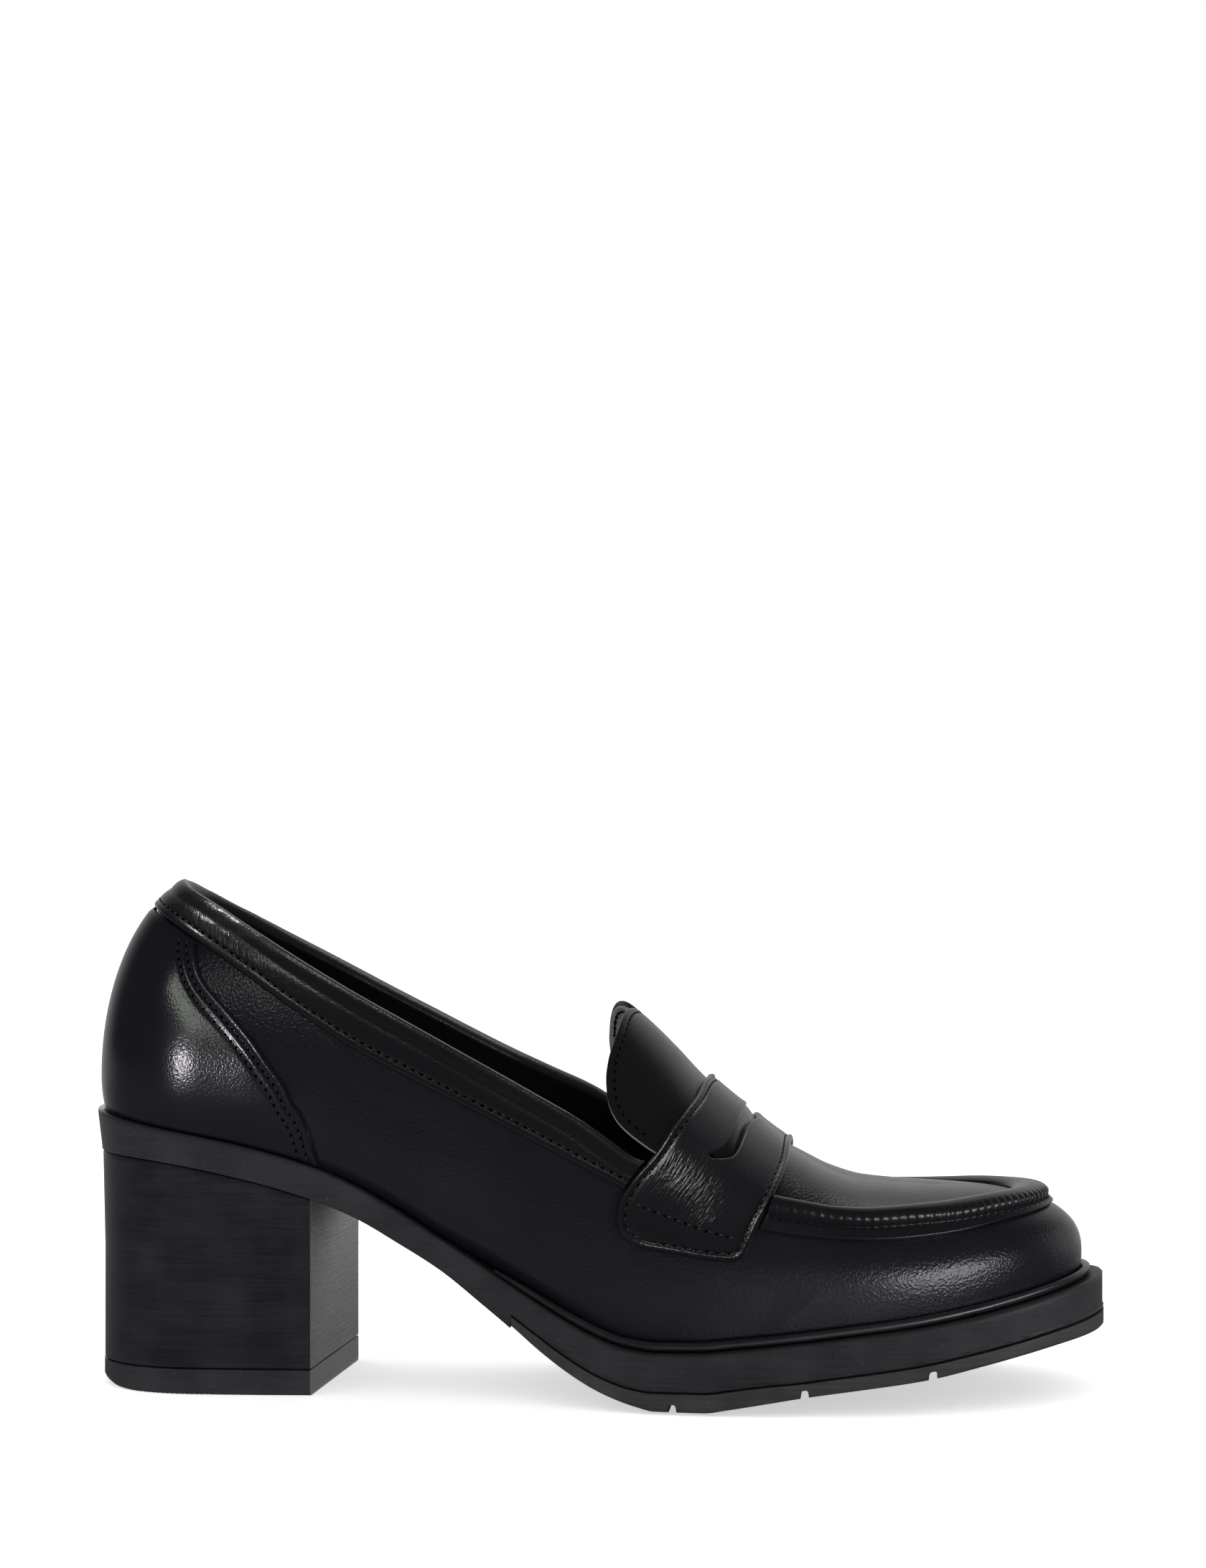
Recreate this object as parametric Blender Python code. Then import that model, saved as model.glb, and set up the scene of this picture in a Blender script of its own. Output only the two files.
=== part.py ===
"""A women's penny loafer on a block heel, for the right foot, standing on its heel and forefoot.

Every length here is in millimetres until mesh_object() turns it into metres. While the shoe is
drawn, X runs from the back of the sole's rim to the toe, Y towards the inner side of the foot
and Z up from the floor. The empty "shoe" then moves it all so that the origin is under the
middle of the shoe.

A place on the upper is given by a rib and an angle. A rib is a curve that starts at the rim of
the sole, x from the back, and rises to the crest line over the foot. The ribs stand square to
the shoe in its middle and fan out at the heel and the toe. The angle is 0 at the widest point
of the outer side, 90 at the crest and 180 at the widest point of the inner side.
"""

import math
from collections import namedtuple

import bmesh
import bpy

MM = 0.001

LENGTH = 248.8            # sole, rim to rim
GAP = 0.3                 # between two pieces that touch
WALL = 1.8                # leather and lining of the upper
INSOLE_THICKNESS = 2.4
INSOLE_BEVEL = 0.9

HEEL_ROUND = 31.0         # length of the rounded back of the sole
HEEL_SQUARENESS = 2.5
TOE_ROUND = 62.0          # length of the rounded toe
TOE_SQUARENESS = 2.0
STATION_COUNT = 44        # ribs along one side, closer together at both ends
STATION_GAP = 1.2         # no rib comes closer than this to one whose place is fixed
FOOT_ARC = 28.0           # the foot of a rib starts this steeply, in degrees

HEEL_SPINE = 29.0         # where the fan of ribs at the heel meets
HEEL_FAN_END = 80.0
TOE_SPINE = 207.0         # where the fan of ribs at the toe meets
TOE_FAN_START = 150.0

BREAST_LATERAL = 56.3     # front face of the heel, from the back of the rim
BREAST_MEDIAL = 58.9
HEEL_COLUMNS = 18         # faces along one side of the heel
HEEL_INSET = 1.3          # of the heel's sides from the rim
HEEL_DRAW = 0.5           # how much further in its sides are below that
HEEL_DRAW_HEIGHT = 0.55   # where they reach it, as a share of the heel's height
HEEL_FLARE = 1.0          # how much further out the sole's band is at its top than at its foot
SOLE_CHAMFER = 0.7
TOP_PIECE_HEIGHT = 6.2
TOP_PIECE_INSET = 0.4     # of its sides from the top of the heel's
TOP_PIECE_BEVEL = (0.9, 1.0)        # its foot is rounded this far in and this far up
TOP_PIECE_REAR_BEVEL = (2.6, 1.3)   # and by this much more at the back
TOP_PIECE_REAR = 14.0     # length of that back part

TREAD_START = 106.7
GROOVES = (146.0, 177.0, 207.0)
GROOVE_WIDTH = 1.7
GROOVE_DEPTH = 1.6
GROOVE_SLOPE = 0.25       # a groove's floor is this much shorter than its mouth at each side
TREAD_FLAT = (141.5, 153.5)   # the part of it that lies on the floor
TREAD_LIP = 0.3           # how far it stands out under the sole
TREAD_BEVEL = 6.0         # the tread's edge is rounded this far in, and a quarter as high

WELT_SIDES = 8

THROAT_X = 157.0          # front end of the opening, under the strap
THROAT_RIBS = (137.0, 141.0, 146.0, 151.0, 154.5, THROAT_X)
UPPER_ROWS = (-90.0, -45.0, 0.0)    # angles of the wall's lower rows of points
UPPER_ROWS_ABOVE = 7

STRAP_THICKNESS = 1.6
SLOT_OVERSHOOT = 1.0      # of the slot's cutter over the strap

TAB_THICKNESS = 2.2
TAB_LEAN = 3.8            # how much further back the tab reaches on its inner side
COLLAR_THICKNESS = 1.2
COLLAR_LINING_DEPTH = 5.0
COUNTER_THICKNESS = 0.8
COUNTER_GAP = 0.45        # wider than the others, for both its sides are strongly bent
COUNTER_FOOT_ANGLE = -86.0
ROLL_HEIGHT = 3.4
ROLL_CLEARANCE = 0.5      # between the apron seam's ends and the strap
ROLL_CUT_X = 172.0        # ribs of the seam behind this are cut to the strap's edge

Sole = namedtuple("Sole", "x rim_z bottom_z tread lateral medial swing")
SOLE = [
    # rim_z is the top edge of the sole, bottom_z its underside, tread the thickness of the
    # forepart tread, lateral and medial the half widths from the swing line
    Sole(0.0, 68.2, 57.6, 0.0, 29.4, 29.4, 0.0),
    Sole(10.0, 66.2, 57.2, 0.0, 29.4, 29.4, 0.0),
    Sole(20.0, 64.4, 56.2, 0.0, 29.5, 29.5, 0.0),
    Sole(40.0, 60.5, 52.4, 0.0, 29.4, 29.4, 0.0),
    Sole(57.0, 55.7, 47.6, 0.0, 28.6, 28.2, 0.0),
    Sole(68.0, 50.9, 43.2, 0.0, 28.0, 26.6, -0.2),
    Sole(79.0, 44.8, 37.0, 0.0, 27.7, 25.2, -0.4),
    Sole(89.0, 38.6, 31.0, 0.0, 28.2, 24.4, -0.6),
    Sole(100.0, 32.0, 22.8, 2.6, 29.9, 24.6, -0.8),
    Sole(106.7, 28.0, 17.8, 3.0, 31.8, 25.6, -0.9),
    Sole(114.0, 23.8, 12.2, 3.8, 34.5, 27.6, -1.0),
    Sole(121.0, 20.0, 7.6, 4.0, 37.1, 30.0, -1.0),
    Sole(127.5, 17.0, 4.2, 4.1, 39.4, 32.6, -1.0),
    Sole(133.0, 15.1, 2.1, 4.2, 41.0, 35.0, -1.0),
    Sole(138.0, 14.2, 0.7, 4.5, 42.2, 37.0, -0.9),
    Sole(141.5, 13.9, 0.0, 4.9, 42.9, 38.2, -0.8),
    Sole(153.5, 14.2, 0.0, 5.0, 44.3, 41.5, -0.6),
    Sole(159.0, 14.8, 0.8, 4.9, 44.6, 42.5, -0.4),
    Sole(168.0, 15.7, 2.3, 4.6, 44.7, 43.4, 0.0),
    Sole(177.0, 16.7, 3.8, 4.0, 44.6, 43.8, 0.5),
    Sole(190.0, 18.3, 5.5, 4.0, 44.2, 43.8, 1.4),
    Sole(204.0, 20.0, 7.3, 4.0, 43.8, 43.4, 2.3),
    Sole(219.0, 22.5, 10.0, 4.0, 43.4, 43.0, 3.2),
    Sole(230.0, 24.7, 12.0, 4.1, 43.1, 43.0, 3.8),
    Sole(238.0, 26.4, 13.4, 4.3, 43.0, 43.0, 4.1),
    Sole(LENGTH, 28.9, 14.8, 4.8, 43.0, 43.0, 4.4),
]

Upper = namedtuple("Upper", "x foot_inset side_lateral side_medial side_rise squareness")
UPPER = [
    # insets of the foot and the widest point from the rim, and that point's height over the rim
    Upper(0.0, 3.2, 2.1, 2.1, 8.0, 2.0),
    Upper(30.0, 3.0, 1.2, 1.2, 11.0, 2.0),
    Upper(57.0, 2.8, -0.4, 0.4, 14.0, 2.0),
    Upper(85.0, 3.2, -3.2, -1.4, 15.5, 2.0),
    Upper(105.0, 5.6, -1.2, 0.4, 14.5, 2.0),
    Upper(116.0, 6.3, 0.6, 1.2, 14.0, 2.0),
    Upper(125.0, 6.6, 2.1, 2.5, 13.5, 2.0),
    Upper(137.0, 6.6, 3.5, 3.7, 13.4, 2.0),
    Upper(147.0, 6.3, 4.0, 4.2, 13.3, 2.05),
    Upper(165.0, 6.1, 4.3, 4.5, 12.3, 2.1),
    Upper(195.0, 6.0, 4.5, 4.7, 10.6, 2.3),
    Upper(225.0, 6.0, 4.8, 4.9, 7.0, 2.5),
    Upper(LENGTH, 6.0, 5.1, 5.1, 4.0, 2.6),
]

Crest = namedtuple("Crest", "x z")
CREST = [
    Crest(29.0, 125.0), Crest(50.0, 127.0), Crest(70.0, 124.6), Crest(90.0, 118.0),
    Crest(110.0, 108.6), Crest(122.0, 101.0), Crest(131.0, 94.6), Crest(136.0, 90.6),
    Crest(143.0, 83.8), Crest(150.0, 76.3), Crest(156.0, 71.0), Crest(160.5, 67.3),
    Crest(165.0, 63.5), Crest(169.3, 60.2), Crest(175.0, 56.8), Crest(180.0, 53.9),
    Crest(187.0, 51.3), Crest(196.0, 50.2), Crest(207.0, 49.5),
]

Topline = namedtuple("Topline", "x z medial_lift drop")
TOPLINE = [
    # z of the upper's own edge, how much higher it is on the inner side, and the collar's depth
    Topline(0.0, 123.0, 0.0, 5.2), Topline(19.0, 123.0, -0.3, 5.2), Topline(24.0, 120.8, -1.2, 6.6),
    Topline(31.0, 117.4, -2.2, 8.2), Topline(42.0, 111.1, -1.9, 9.8),
    Topline(55.0, 103.4, -1.0, 11.2), Topline(67.5, 96.4, -0.5, 12.0),
    Topline(82.0, 88.7, -0.1, 11.6), Topline(96.0, 81.1, 0.6, 10.8),
    Topline(110.0, 73.7, 1.6, 10.2), Topline(123.0, 66.6, 2.4, 9.4),
    Topline(130.5, 61.6, 2.4, 8.0), Topline(137.0, 57.6, 2.0, 7.0), Topline(141.0, 57.0, 1.6, 7.0),
]

Throat = namedtuple("Throat", "x angle")
THROAT = [
    Throat(141.0, 29.0), Throat(146.0, 37.5), Throat(150.0, 47.0), Throat(153.5, 59.0),
    Throat(156.0, 76.0), Throat(THROAT_X, 90.0),
]

Welt = namedtuple("Welt", "x inset diameter")
WELT = [
    # the bead grows out of the sole's edge at the waist; inset is that of its middle
    Welt(102.5, 1.4, 0.9), Welt(108.0, 1.8, 1.5), Welt(116.0, 2.5, 2.0), Welt(125.0, 3.3, 2.2),
    Welt(137.0, 4.0, 2.2), Welt(147.0, 4.1, 2.2), Welt(LENGTH, 4.1, 2.2),
]

StrapEdge = namedtuple("StrapEdge", "angle rear front")
STRAP_EDGE = [
    StrapEdge(10.2, 138.2, 158.6), StrapEdge(10.7, 135.9, 160.6), StrapEdge(11.5, 134.1, 161.8),
    StrapEdge(12.8, 133.1, 162.7), StrapEdge(15.4, 132.7, 163.7), StrapEdge(18.4, 133.2, 164.6),
    StrapEdge(21.2, 134.5, 165.3), StrapEdge(25.6, 136.8, 166.4), StrapEdge(30.8, 139.9, 167.9),
    StrapEdge(36.4, 142.4, 169.2), StrapEdge(43.7, 144.8, 170.6), StrapEdge(52.1, 147.2, 172.0),
    StrapEdge(66.1, 149.9, 173.5), StrapEdge(90.0, 151.7, 174.4),
]

SlotEdge = namedtuple("SlotEdge", "angle rear front")
SLOT_EDGE = [
    SlotEdge(42.4, 153.6, 154.6), SlotEdge(44.6, 155.0, 157.0), SlotEdge(47.0, 156.3, 158.9),
    SlotEdge(51.3, 157.6, 160.1), SlotEdge(58.0, 158.8, 161.0), SlotEdge(67.0, 159.9, 161.9),
    SlotEdge(75.0, 160.4, 162.8), SlotEdge(83.0, 160.9, 163.9), SlotEdge(90.0, 161.1, 164.5),
]

TabEdge = namedtuple("TabEdge", "angle rear")
TAB_EDGE = [
    TabEdge(35.0, 140.2), TabEdge(35.3, 137.5), TabEdge(35.8, 134.8), TabEdge(37.0, 132.0),
    TabEdge(39.5, 130.0), TabEdge(43.0, 129.1), TabEdge(47.2, 128.8), TabEdge(52.3, 129.1),
    TabEdge(58.0, 129.8), TabEdge(66.0, 130.7), TabEdge(76.0, 131.5), TabEdge(84.0, 132.3),
    TabEdge(90.0, 133.2),
]

CounterEdge = namedtuple("CounterEdge", "angle front")
COUNTER_EDGE = [
    CounterEdge(-80.0, 59.1), CounterEdge(-34.0, 57.5), CounterEdge(-4.5, 54.8),
    CounterEdge(3.9, 51.8), CounterEdge(8.5, 48.0), CounterEdge(14.8, 43.0),
    CounterEdge(22.2, 36.0), CounterEdge(30.6, 28.4), CounterEdge(40.6, 24.0),
]

MocSeam = namedtuple("MocSeam", "x outer inner")
MOC_SEAM = [
    # angles of the apron seam's two edges on the rib at x
    MocSeam(163.0, 23.4, 39.0), MocSeam(182.5, 24.3, 42.6), MocSeam(197.0, 25.4, 47.3),
    MocSeam(215.5, 29.0, 53.2), MocSeam(230.7, 35.2, 58.6), MocSeam(243.3, 40.3, 62.0),
    MocSeam(LENGTH, 42.3, 64.0),
]

RollPoint = namedtuple("RollPoint", "across height")
ROLL_PROFILE = [
    # from the outer edge, over the stitched flange and the roll, to the apron and back below
    RollPoint(0.0, 0.9), RollPoint(0.3, 1.5), RollPoint(0.5, 2.7), RollPoint(0.7, ROLL_HEIGHT),
    RollPoint(0.88, 2.9), RollPoint(1.0, 1.2), RollPoint(0.98, GAP), RollPoint(0.5, GAP),
    RollPoint(0.0, GAP),
]


def smooth(table, column, at, key=None):
    """The column's value at the place, on a monotone cubic curve through the table's rows."""
    key = key or table[0]._fields[0]
    xs = [getattr(row, key) for row in table]
    ys = [getattr(row, column) for row in table]
    if at <= xs[0]:
        return ys[0]
    if at >= xs[-1]:
        return ys[-1]
    steps = [(ys[i + 1] - ys[i]) / (xs[i + 1] - xs[i]) for i in range(len(xs) - 1)]

    def slope(i):
        if i in (0, len(xs) - 1):
            return steps[min(i, len(steps) - 1)]
        before, after = steps[i - 1], steps[i]
        if before * after <= 0.0:
            return 0.0
        return 2.0 * before * after / (before + after)

    i = max(k for k in range(len(xs) - 1) if xs[k] <= at)
    width = xs[i + 1] - xs[i]
    t = (at - xs[i]) / width
    return (
        ys[i] * (1 + 2 * t) * (1 - t) ** 2
        + slope(i) * width * t * (1 - t) ** 2
        + ys[i + 1] * t * t * (3 - 2 * t)
        - slope(i + 1) * width * t * t * (1 - t)
    )


def rim_z(x):
    """Height of the sole's top edge."""
    return smooth(SOLE, "rim_z", x)


def end_rounding(x):
    """1 along the middle of the sole, falling to 0 at the back and the toe as on an ellipse."""
    share = 1.0
    if x < HEEL_ROUND:
        left = max(0.0, 1 - x / HEEL_ROUND)
        share = max(0.0, 1 - left**HEEL_SQUARENESS) ** (1 / HEEL_SQUARENESS)
    left = max(0.0, (x - (LENGTH - TOE_ROUND)) / TOE_ROUND)
    return share * max(0.0, 1 - left**TOE_SQUARENESS) ** (1 / TOE_SQUARENESS)


def rim(x, side):
    """Plan of the sole's rim, x from the back. side is -1 on the outer side and 1 on the inner."""
    width = smooth(SOLE, "lateral" if side < 0 else "medial", x)
    return x, smooth(SOLE, "swing", x) + side * width * end_rounding(x)


def spine(x):
    """Plan of the crest point over which the rib at x ends."""
    at_heel = HEEL_SPINE / HEEL_FAN_END**2
    at_toe = (LENGTH - TOE_SPINE) / (LENGTH - TOE_FAN_START) ** 2
    along = x + at_heel * max(0.0, HEEL_FAN_END - x) ** 2 - at_toe * max(0.0, x - TOE_FAN_START) ** 2
    return along, smooth(SOLE, "swing", along)


def inset_rim(x, side, inset):
    """The rim's point at x, moved along its rib towards the spine."""
    rx, ry = rim(x, side)
    sx, sy = spine(x)
    reach = math.hypot(sx - rx, sy - ry)
    return rx + (sx - rx) * inset / reach, ry + (sy - ry) * inset / reach


def foot_point(x, side, offset=0.0):
    """Where the rib's outer face, moved out by offset, stands on the sole."""
    px, py = inset_rim(x, side, smooth(UPPER, "foot_inset", x) - offset)
    return px, py, rim_z(px) + GAP


def last_point(x, angle, offset=0.0):
    """A point of the upper's outer face, moved out by offset. Angles below 0 run down to the foot."""
    side = -1 if angle <= 90.0 else 1
    angle = angle if side < 0 else 180.0 - angle
    rx, ry = rim(x, side)
    sx, sy = spine(x)
    reach = math.hypot(sx - rx, sy - ry)
    widest = reach - smooth(UPPER, "side_lateral" if side < 0 else "side_medial", x) + offset
    side_z = rim_z(x) + smooth(UPPER, "side_rise", x)
    if angle >= 0.0:
        power = 2.0 / smooth(UPPER, "squareness", x)
        away = widest * max(0.0, math.cos(math.radians(angle))) ** power
        crest = smooth(CREST, "z", sx) + offset
        z = side_z + (crest - side_z) * math.sin(math.radians(angle)) ** power
    else:
        foot = reach - smooth(UPPER, "foot_inset", x) + offset
        foot_z = foot_point(x, side, offset)[2]
        turn = math.radians(FOOT_ARC + (90.0 - FOOT_ARC) * (1 + angle / 90.0))
        start = math.radians(FOOT_ARC)
        out = (math.sin(turn) - math.sin(start)) / (1 - math.sin(start))
        up = (math.cos(start) - math.cos(turn)) / math.cos(start)
        away = foot + (widest - foot) * out
        z = foot_z + (side_z - foot_z) * up
    return sx + (rx - sx) * away / reach, sy + (ry - sy) * away / reach, z


def angle_at_height(x, side, height_of, offset=0.0):
    """The angle on a rib at which its z is height_of(actual x there), found by halving."""
    low, high = 0.0, 90.0
    for _ in range(40):
        middle = (low + high) / 2
        px, _, pz = last_point(x, middle if side < 0 else 180.0 - middle, offset)
        if pz < height_of(px):
            low = middle
        else:
            high = middle
    return (low + high) / 2


def along_the_rib(x, angle, side, distance):
    """The angle on the rib that lies this many millimetres further up than the given one."""
    near = last_point(x, angle if side < 0 else 180.0 - angle)
    far = last_point(x, angle + 1.0 if side < 0 else 179.0 - angle)
    return angle + distance / math.dist(near, far)


def topline_angle(x, side):
    """Where the upper's edge crosses the rib at x: at the collar, then along the throat."""
    if x >= THROAT[0].x:
        return smooth(THROAT, "angle", x)

    def edge(px):
        lift = smooth(TOPLINE, "medial_lift", px) if side > 0 else 0.0
        return smooth(TOPLINE, "z", px) + lift

    return angle_at_height(x, side, edge)


def collar_angle(x, side):
    """Where the collar's lower edge crosses the rib at x."""
    top_angle = topline_angle(x, side)
    top = last_point(x, top_angle if side < 0 else 180.0 - top_angle)
    low_z = top[2] - smooth(TOPLINE, "drop", top[0])
    return angle_at_height(x, side, lambda px: low_z)


def stations(start, end, count, extra=()):
    """Places along the shoe, closer together near the heel and the toe."""
    every = [LENGTH * (1 - math.cos(math.pi * i / count)) / 2 for i in range(count + 1)]
    fixed = [start, end, *extra]
    kept = [x for x in every if start < x < end and all(abs(x - f) > STATION_GAP for f in fixed)]
    return sorted(kept + fixed)


def both_sides(xs):
    """Goes round the shoe: the outer side from the first place to the last, then the inner back."""
    return [(x, -1) for x in xs] + [(x, 1) for x in reversed(xs)]


def mesh_object(name, points, faces, material):
    """A closed solid in metres, with coincident points made one and every face turned outwards."""
    mesh = bpy.data.meshes.new(name)
    shape = bmesh.new()
    verts = [shape.verts.new([c * MM for c in point]) for point in points]
    for face in faces:
        if len(set(face)) == len(face):
            shape.faces.new([verts[i] for i in face])
    bmesh.ops.remove_doubles(shape, verts=shape.verts, dist=0.002 * MM)
    bmesh.ops.dissolve_degenerate(shape, edges=shape.edges, dist=0.001 * MM)
    bmesh.ops.triangulate(shape, faces=shape.faces)
    bmesh.ops.recalc_face_normals(shape, faces=shape.faces)
    shape.to_mesh(mesh)
    shape.free()
    mesh.shade_smooth()
    mesh.set_sharp_from_angle(angle=math.radians(35.0))
    mesh.materials.append(material)
    made = bpy.data.objects.new(name, mesh)
    bpy.context.scene.collection.objects.link(made)
    made.parent = bpy.data.objects["shoe"]
    return made


def layered_solid(name, loops, material):
    """Loops of both_sides() points, top to bottom, with flat strips across the first and last."""
    count = len(loops[0])
    points = [p for loop in loops for p in loop]
    faces = []
    for level in range(len(loops) - 1):
        for i in range(count):
            a, b = level * count + i, level * count + (i + 1) % count
            faces.append((a, b, b + count, a + count))
    for first in (0, (len(loops) - 1) * count):
        for i in range(count // 2 - 1):
            faces.append((first + i, first + i + 1, first + count - 2 - i, first + count - 1 - i))
    return mesh_object(name, points, faces, material)


def sheet_solid(name, outer, inner, material):
    """A bent plate between two grids of points, walled along its edges."""
    rows, columns = len(outer), len(outer[0])
    points = [p for grid in (outer, inner) for row in grid for p in row]
    under = rows * columns
    faces = []
    for r in range(rows - 1):
        this, following = r * columns, (r + 1) * columns
        for c in range(columns - 1):
            quad = (this + c, this + c + 1, following + c + 1, following + c)
            faces += [quad, tuple(under + i for i in reversed(quad))]
        for c in (0, columns - 1):
            faces.append((this + c, following + c, under + following + c, under + this + c))
    for r in (0, rows - 1):
        for c in range(columns - 1):
            i = r * columns + c
            faces.append((i, i + 1, under + i + 1, under + i))
    return mesh_object(name, points, faces, material)


def swept_solid(name, rings, material):
    """A bar through rings of points, closed by a flat face at each end."""
    sides = len(rings[0])
    points = [p for ring in rings for p in ring]
    faces = [tuple(range(sides)), tuple(range(len(points) - sides, len(points)))]
    for r in range(len(rings) - 1):
        for s in range(sides):
            a, b = r * sides + s, r * sides + (s + 1) % sides
            faces.append((a, b, b + sides, a + sides))
    return mesh_object(name, points, faces, material)


def finish_of(name, colour, roughness):
    """A plain material."""
    material = bpy.data.materials.new(name)
    material.use_nodes = True
    shader = material.node_tree.nodes["Principled BSDF"]
    shader.inputs["Base Color"].default_value = (*colour, 1.0)
    shader.inputs["Roughness"].default_value = roughness
    material.diffuse_color = (*colour, 1.0)
    return material


def outsole():
    """The sole unit: a flared band round the heel seat, the arch, and the thick forepart."""
    xs = stations(0.0, LENGTH, STATION_COUNT, (TREAD_START - 0.4, TREAD_START))

    def underside(x):
        tread = smooth(SOLE, "tread", x) + GAP if x >= TREAD_START else 0.0
        return smooth(SOLE, "bottom_z", x) + tread

    def loop(inset_heel, inset_toe, top_share, drop):
        points = []
        for x, side in both_sides(xs):
            share = min(1.0, max(0.0, (x - BREAST_LATERAL) / (TREAD_START - BREAST_LATERAL)))
            px, py = inset_rim(x, side, inset_heel + (inset_toe - inset_heel) * share)
            low, high = underside(x), rim_z(px)
            points.append((px, py, low + (high - low) * top_share - drop))
        return points

    return layered_solid(
        "outsole",
        [
            loop(SOLE_CHAMFER, SOLE_CHAMFER, 1.0, 0.0),
            loop(0.0, 0.0, 1.0, SOLE_CHAMFER),
            loop(0.5 * HEEL_FLARE, 0.0, 0.6, 0.0),
            loop(HEEL_FLARE, 0.0, 0.0, 0.0),
        ],
        finish_of("outsole_rubber", (0.022, 0.022, 0.024), 0.5),
    )


def forepart_tread():
    """The rubber tread under the forepart, with its cross grooves."""
    edges = [g + side * GROOVE_WIDTH / 2 for g in GROOVES for side in (-1, 1)]
    floors = [e + (GROOVE_SLOPE if i % 2 == 0 else -GROOVE_SLOPE) for i, e in enumerate(edges)]
    xs = stations(TREAD_START, LENGTH, STATION_COUNT, [*edges, *floors, *TREAD_FLAT])

    def groove(x):
        return GROOVE_DEPTH if x in floors else 0.0

    def loop(inset, lift, share):
        points = []
        for x, side in both_sides(xs):
            px, py = inset_rim(x, side, inset)
            low = smooth(SOLE, "bottom_z", x)
            thick = smooth(SOLE, "tread", x)
            cut = groove(x) if share == 0.0 else 0.0
            points.append((px, py, low + lift + thick * share + cut))
        return points

    return layered_solid(
        "forepart_tread",
        [
            loop(-TREAD_LIP, 0.0, 1.0),
            loop(-TREAD_LIP, TREAD_BEVEL / 4, 0.0),
            loop(TREAD_BEVEL, 0.0, 0.0),
        ],
        finish_of("tread_rubber", (0.024, 0.024, 0.026), 0.55),
    )


def heel_outline(count):
    """Places round the heel as (x on the rim, side), ending at the slanted breast on each side."""
    shares = [(1 - math.cos(math.pi / 2 * i / count)) for i in range(count + 1)]
    lateral = [(BREAST_LATERAL * s, -1) for s in shares]
    medial = [(BREAST_MEDIAL * s, 1) for s in reversed(shares)]
    return lateral + medial


def heel_block():
    """The stacked block: its top follows the arch of the sole's seat."""

    def loop(inset, height_of):
        points = []
        for x, side in heel_outline(HEEL_COLUMNS):
            px, py = inset_rim(x, side, inset)
            points.append((px, py, height_of(x)))
        return points

    def seat(x):
        return smooth(SOLE, "bottom_z", x) - GAP

    foot = TOP_PIECE_HEIGHT + GAP
    return layered_solid(
        "heel_block",
        [
            loop(HEEL_INSET, seat),
            loop(HEEL_INSET + HEEL_DRAW, lambda x: foot + (seat(x) - foot) * HEEL_DRAW_HEIGHT),
            loop(HEEL_INSET + HEEL_DRAW, lambda x: foot),
        ],
        finish_of("stacked_heel", (0.018, 0.018, 0.023), 0.42),
    )


def heel_top_piece():
    """The rubber lift that the heel stands on, its edge rounded more at the back."""

    def loop(inset, rear_inset, z, rear_z):
        points = []
        for x, side in heel_outline(HEEL_COLUMNS):
            rear = max(0.0, 1 - x / TOP_PIECE_REAR) ** 2
            px, py = inset_rim(x, side, HEEL_INSET + TOP_PIECE_INSET + inset + rear_inset * rear)
            points.append((px, py, z + rear_z * rear))
        return points

    bevel, rear_bevel = TOP_PIECE_BEVEL, TOP_PIECE_REAR_BEVEL
    return layered_solid(
        "heel_top_piece",
        [
            loop(0.0, 0.0, TOP_PIECE_HEIGHT, 0.0),
            loop(0.0, 0.0, bevel[1], rear_bevel[1]),
            loop(bevel[0], rear_bevel[0], 0.0, 0.0),
        ],
        finish_of("top_piece_rubber", (0.026, 0.026, 0.028), 0.6),
    )


def welt_bead():
    """The round bead between upper and sole, from one side of the waist round the toe to the other."""
    xs = stations(WELT[0].x, LENGTH, STATION_COUNT)
    route = both_sides(xs)
    route.remove((LENGTH, 1))
    rings = []
    for x, side in route:
        radius = smooth(WELT, "diameter", x) / 2
        inset = smooth(WELT, "inset", x)
        ring = []
        for i in range(WELT_SIDES):
            turn = 2 * math.pi * (i + 0.5) / WELT_SIDES
            px, py = inset_rim(x, side, inset - radius * math.cos(turn))
            flat = rim_z(px) + GAP + radius * math.cos(math.pi / WELT_SIDES)
            ring.append((px, py, flat + radius * math.sin(turn)))
        rings.append(ring)
    return swept_solid("welt_bead", rings, finish_of("welt_rubber", (0.02, 0.02, 0.022), 0.35))


def insole():
    """The sock inside the shoe, on top of the sole."""
    xs = stations(0.0, LENGTH, STATION_COUNT - 12)
    clear = WALL + 2 * GAP

    def loop(inset, height):
        points = []
        for x, side in both_sides(xs):
            px, py = inset_rim(x, side, smooth(UPPER, "foot_inset", x) + clear + inset)
            points.append((px, py, rim_z(px) + GAP + height))
        return points

    return layered_solid(
        "insole",
        [
            loop(INSOLE_BEVEL, INSOLE_THICKNESS),
            loop(0.0, INSOLE_THICKNESS - INSOLE_BEVEL),
            loop(0.0, 0.0),
        ],
        finish_of("insole_leather", (0.02, 0.02, 0.022), 0.6),
    )


def wall_stations():
    """The ribs of the upper's wall; the pieces that lie on it use the same ones."""
    return stations(0.0, LENGTH, STATION_COUNT, THROAT_RIBS)


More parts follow.
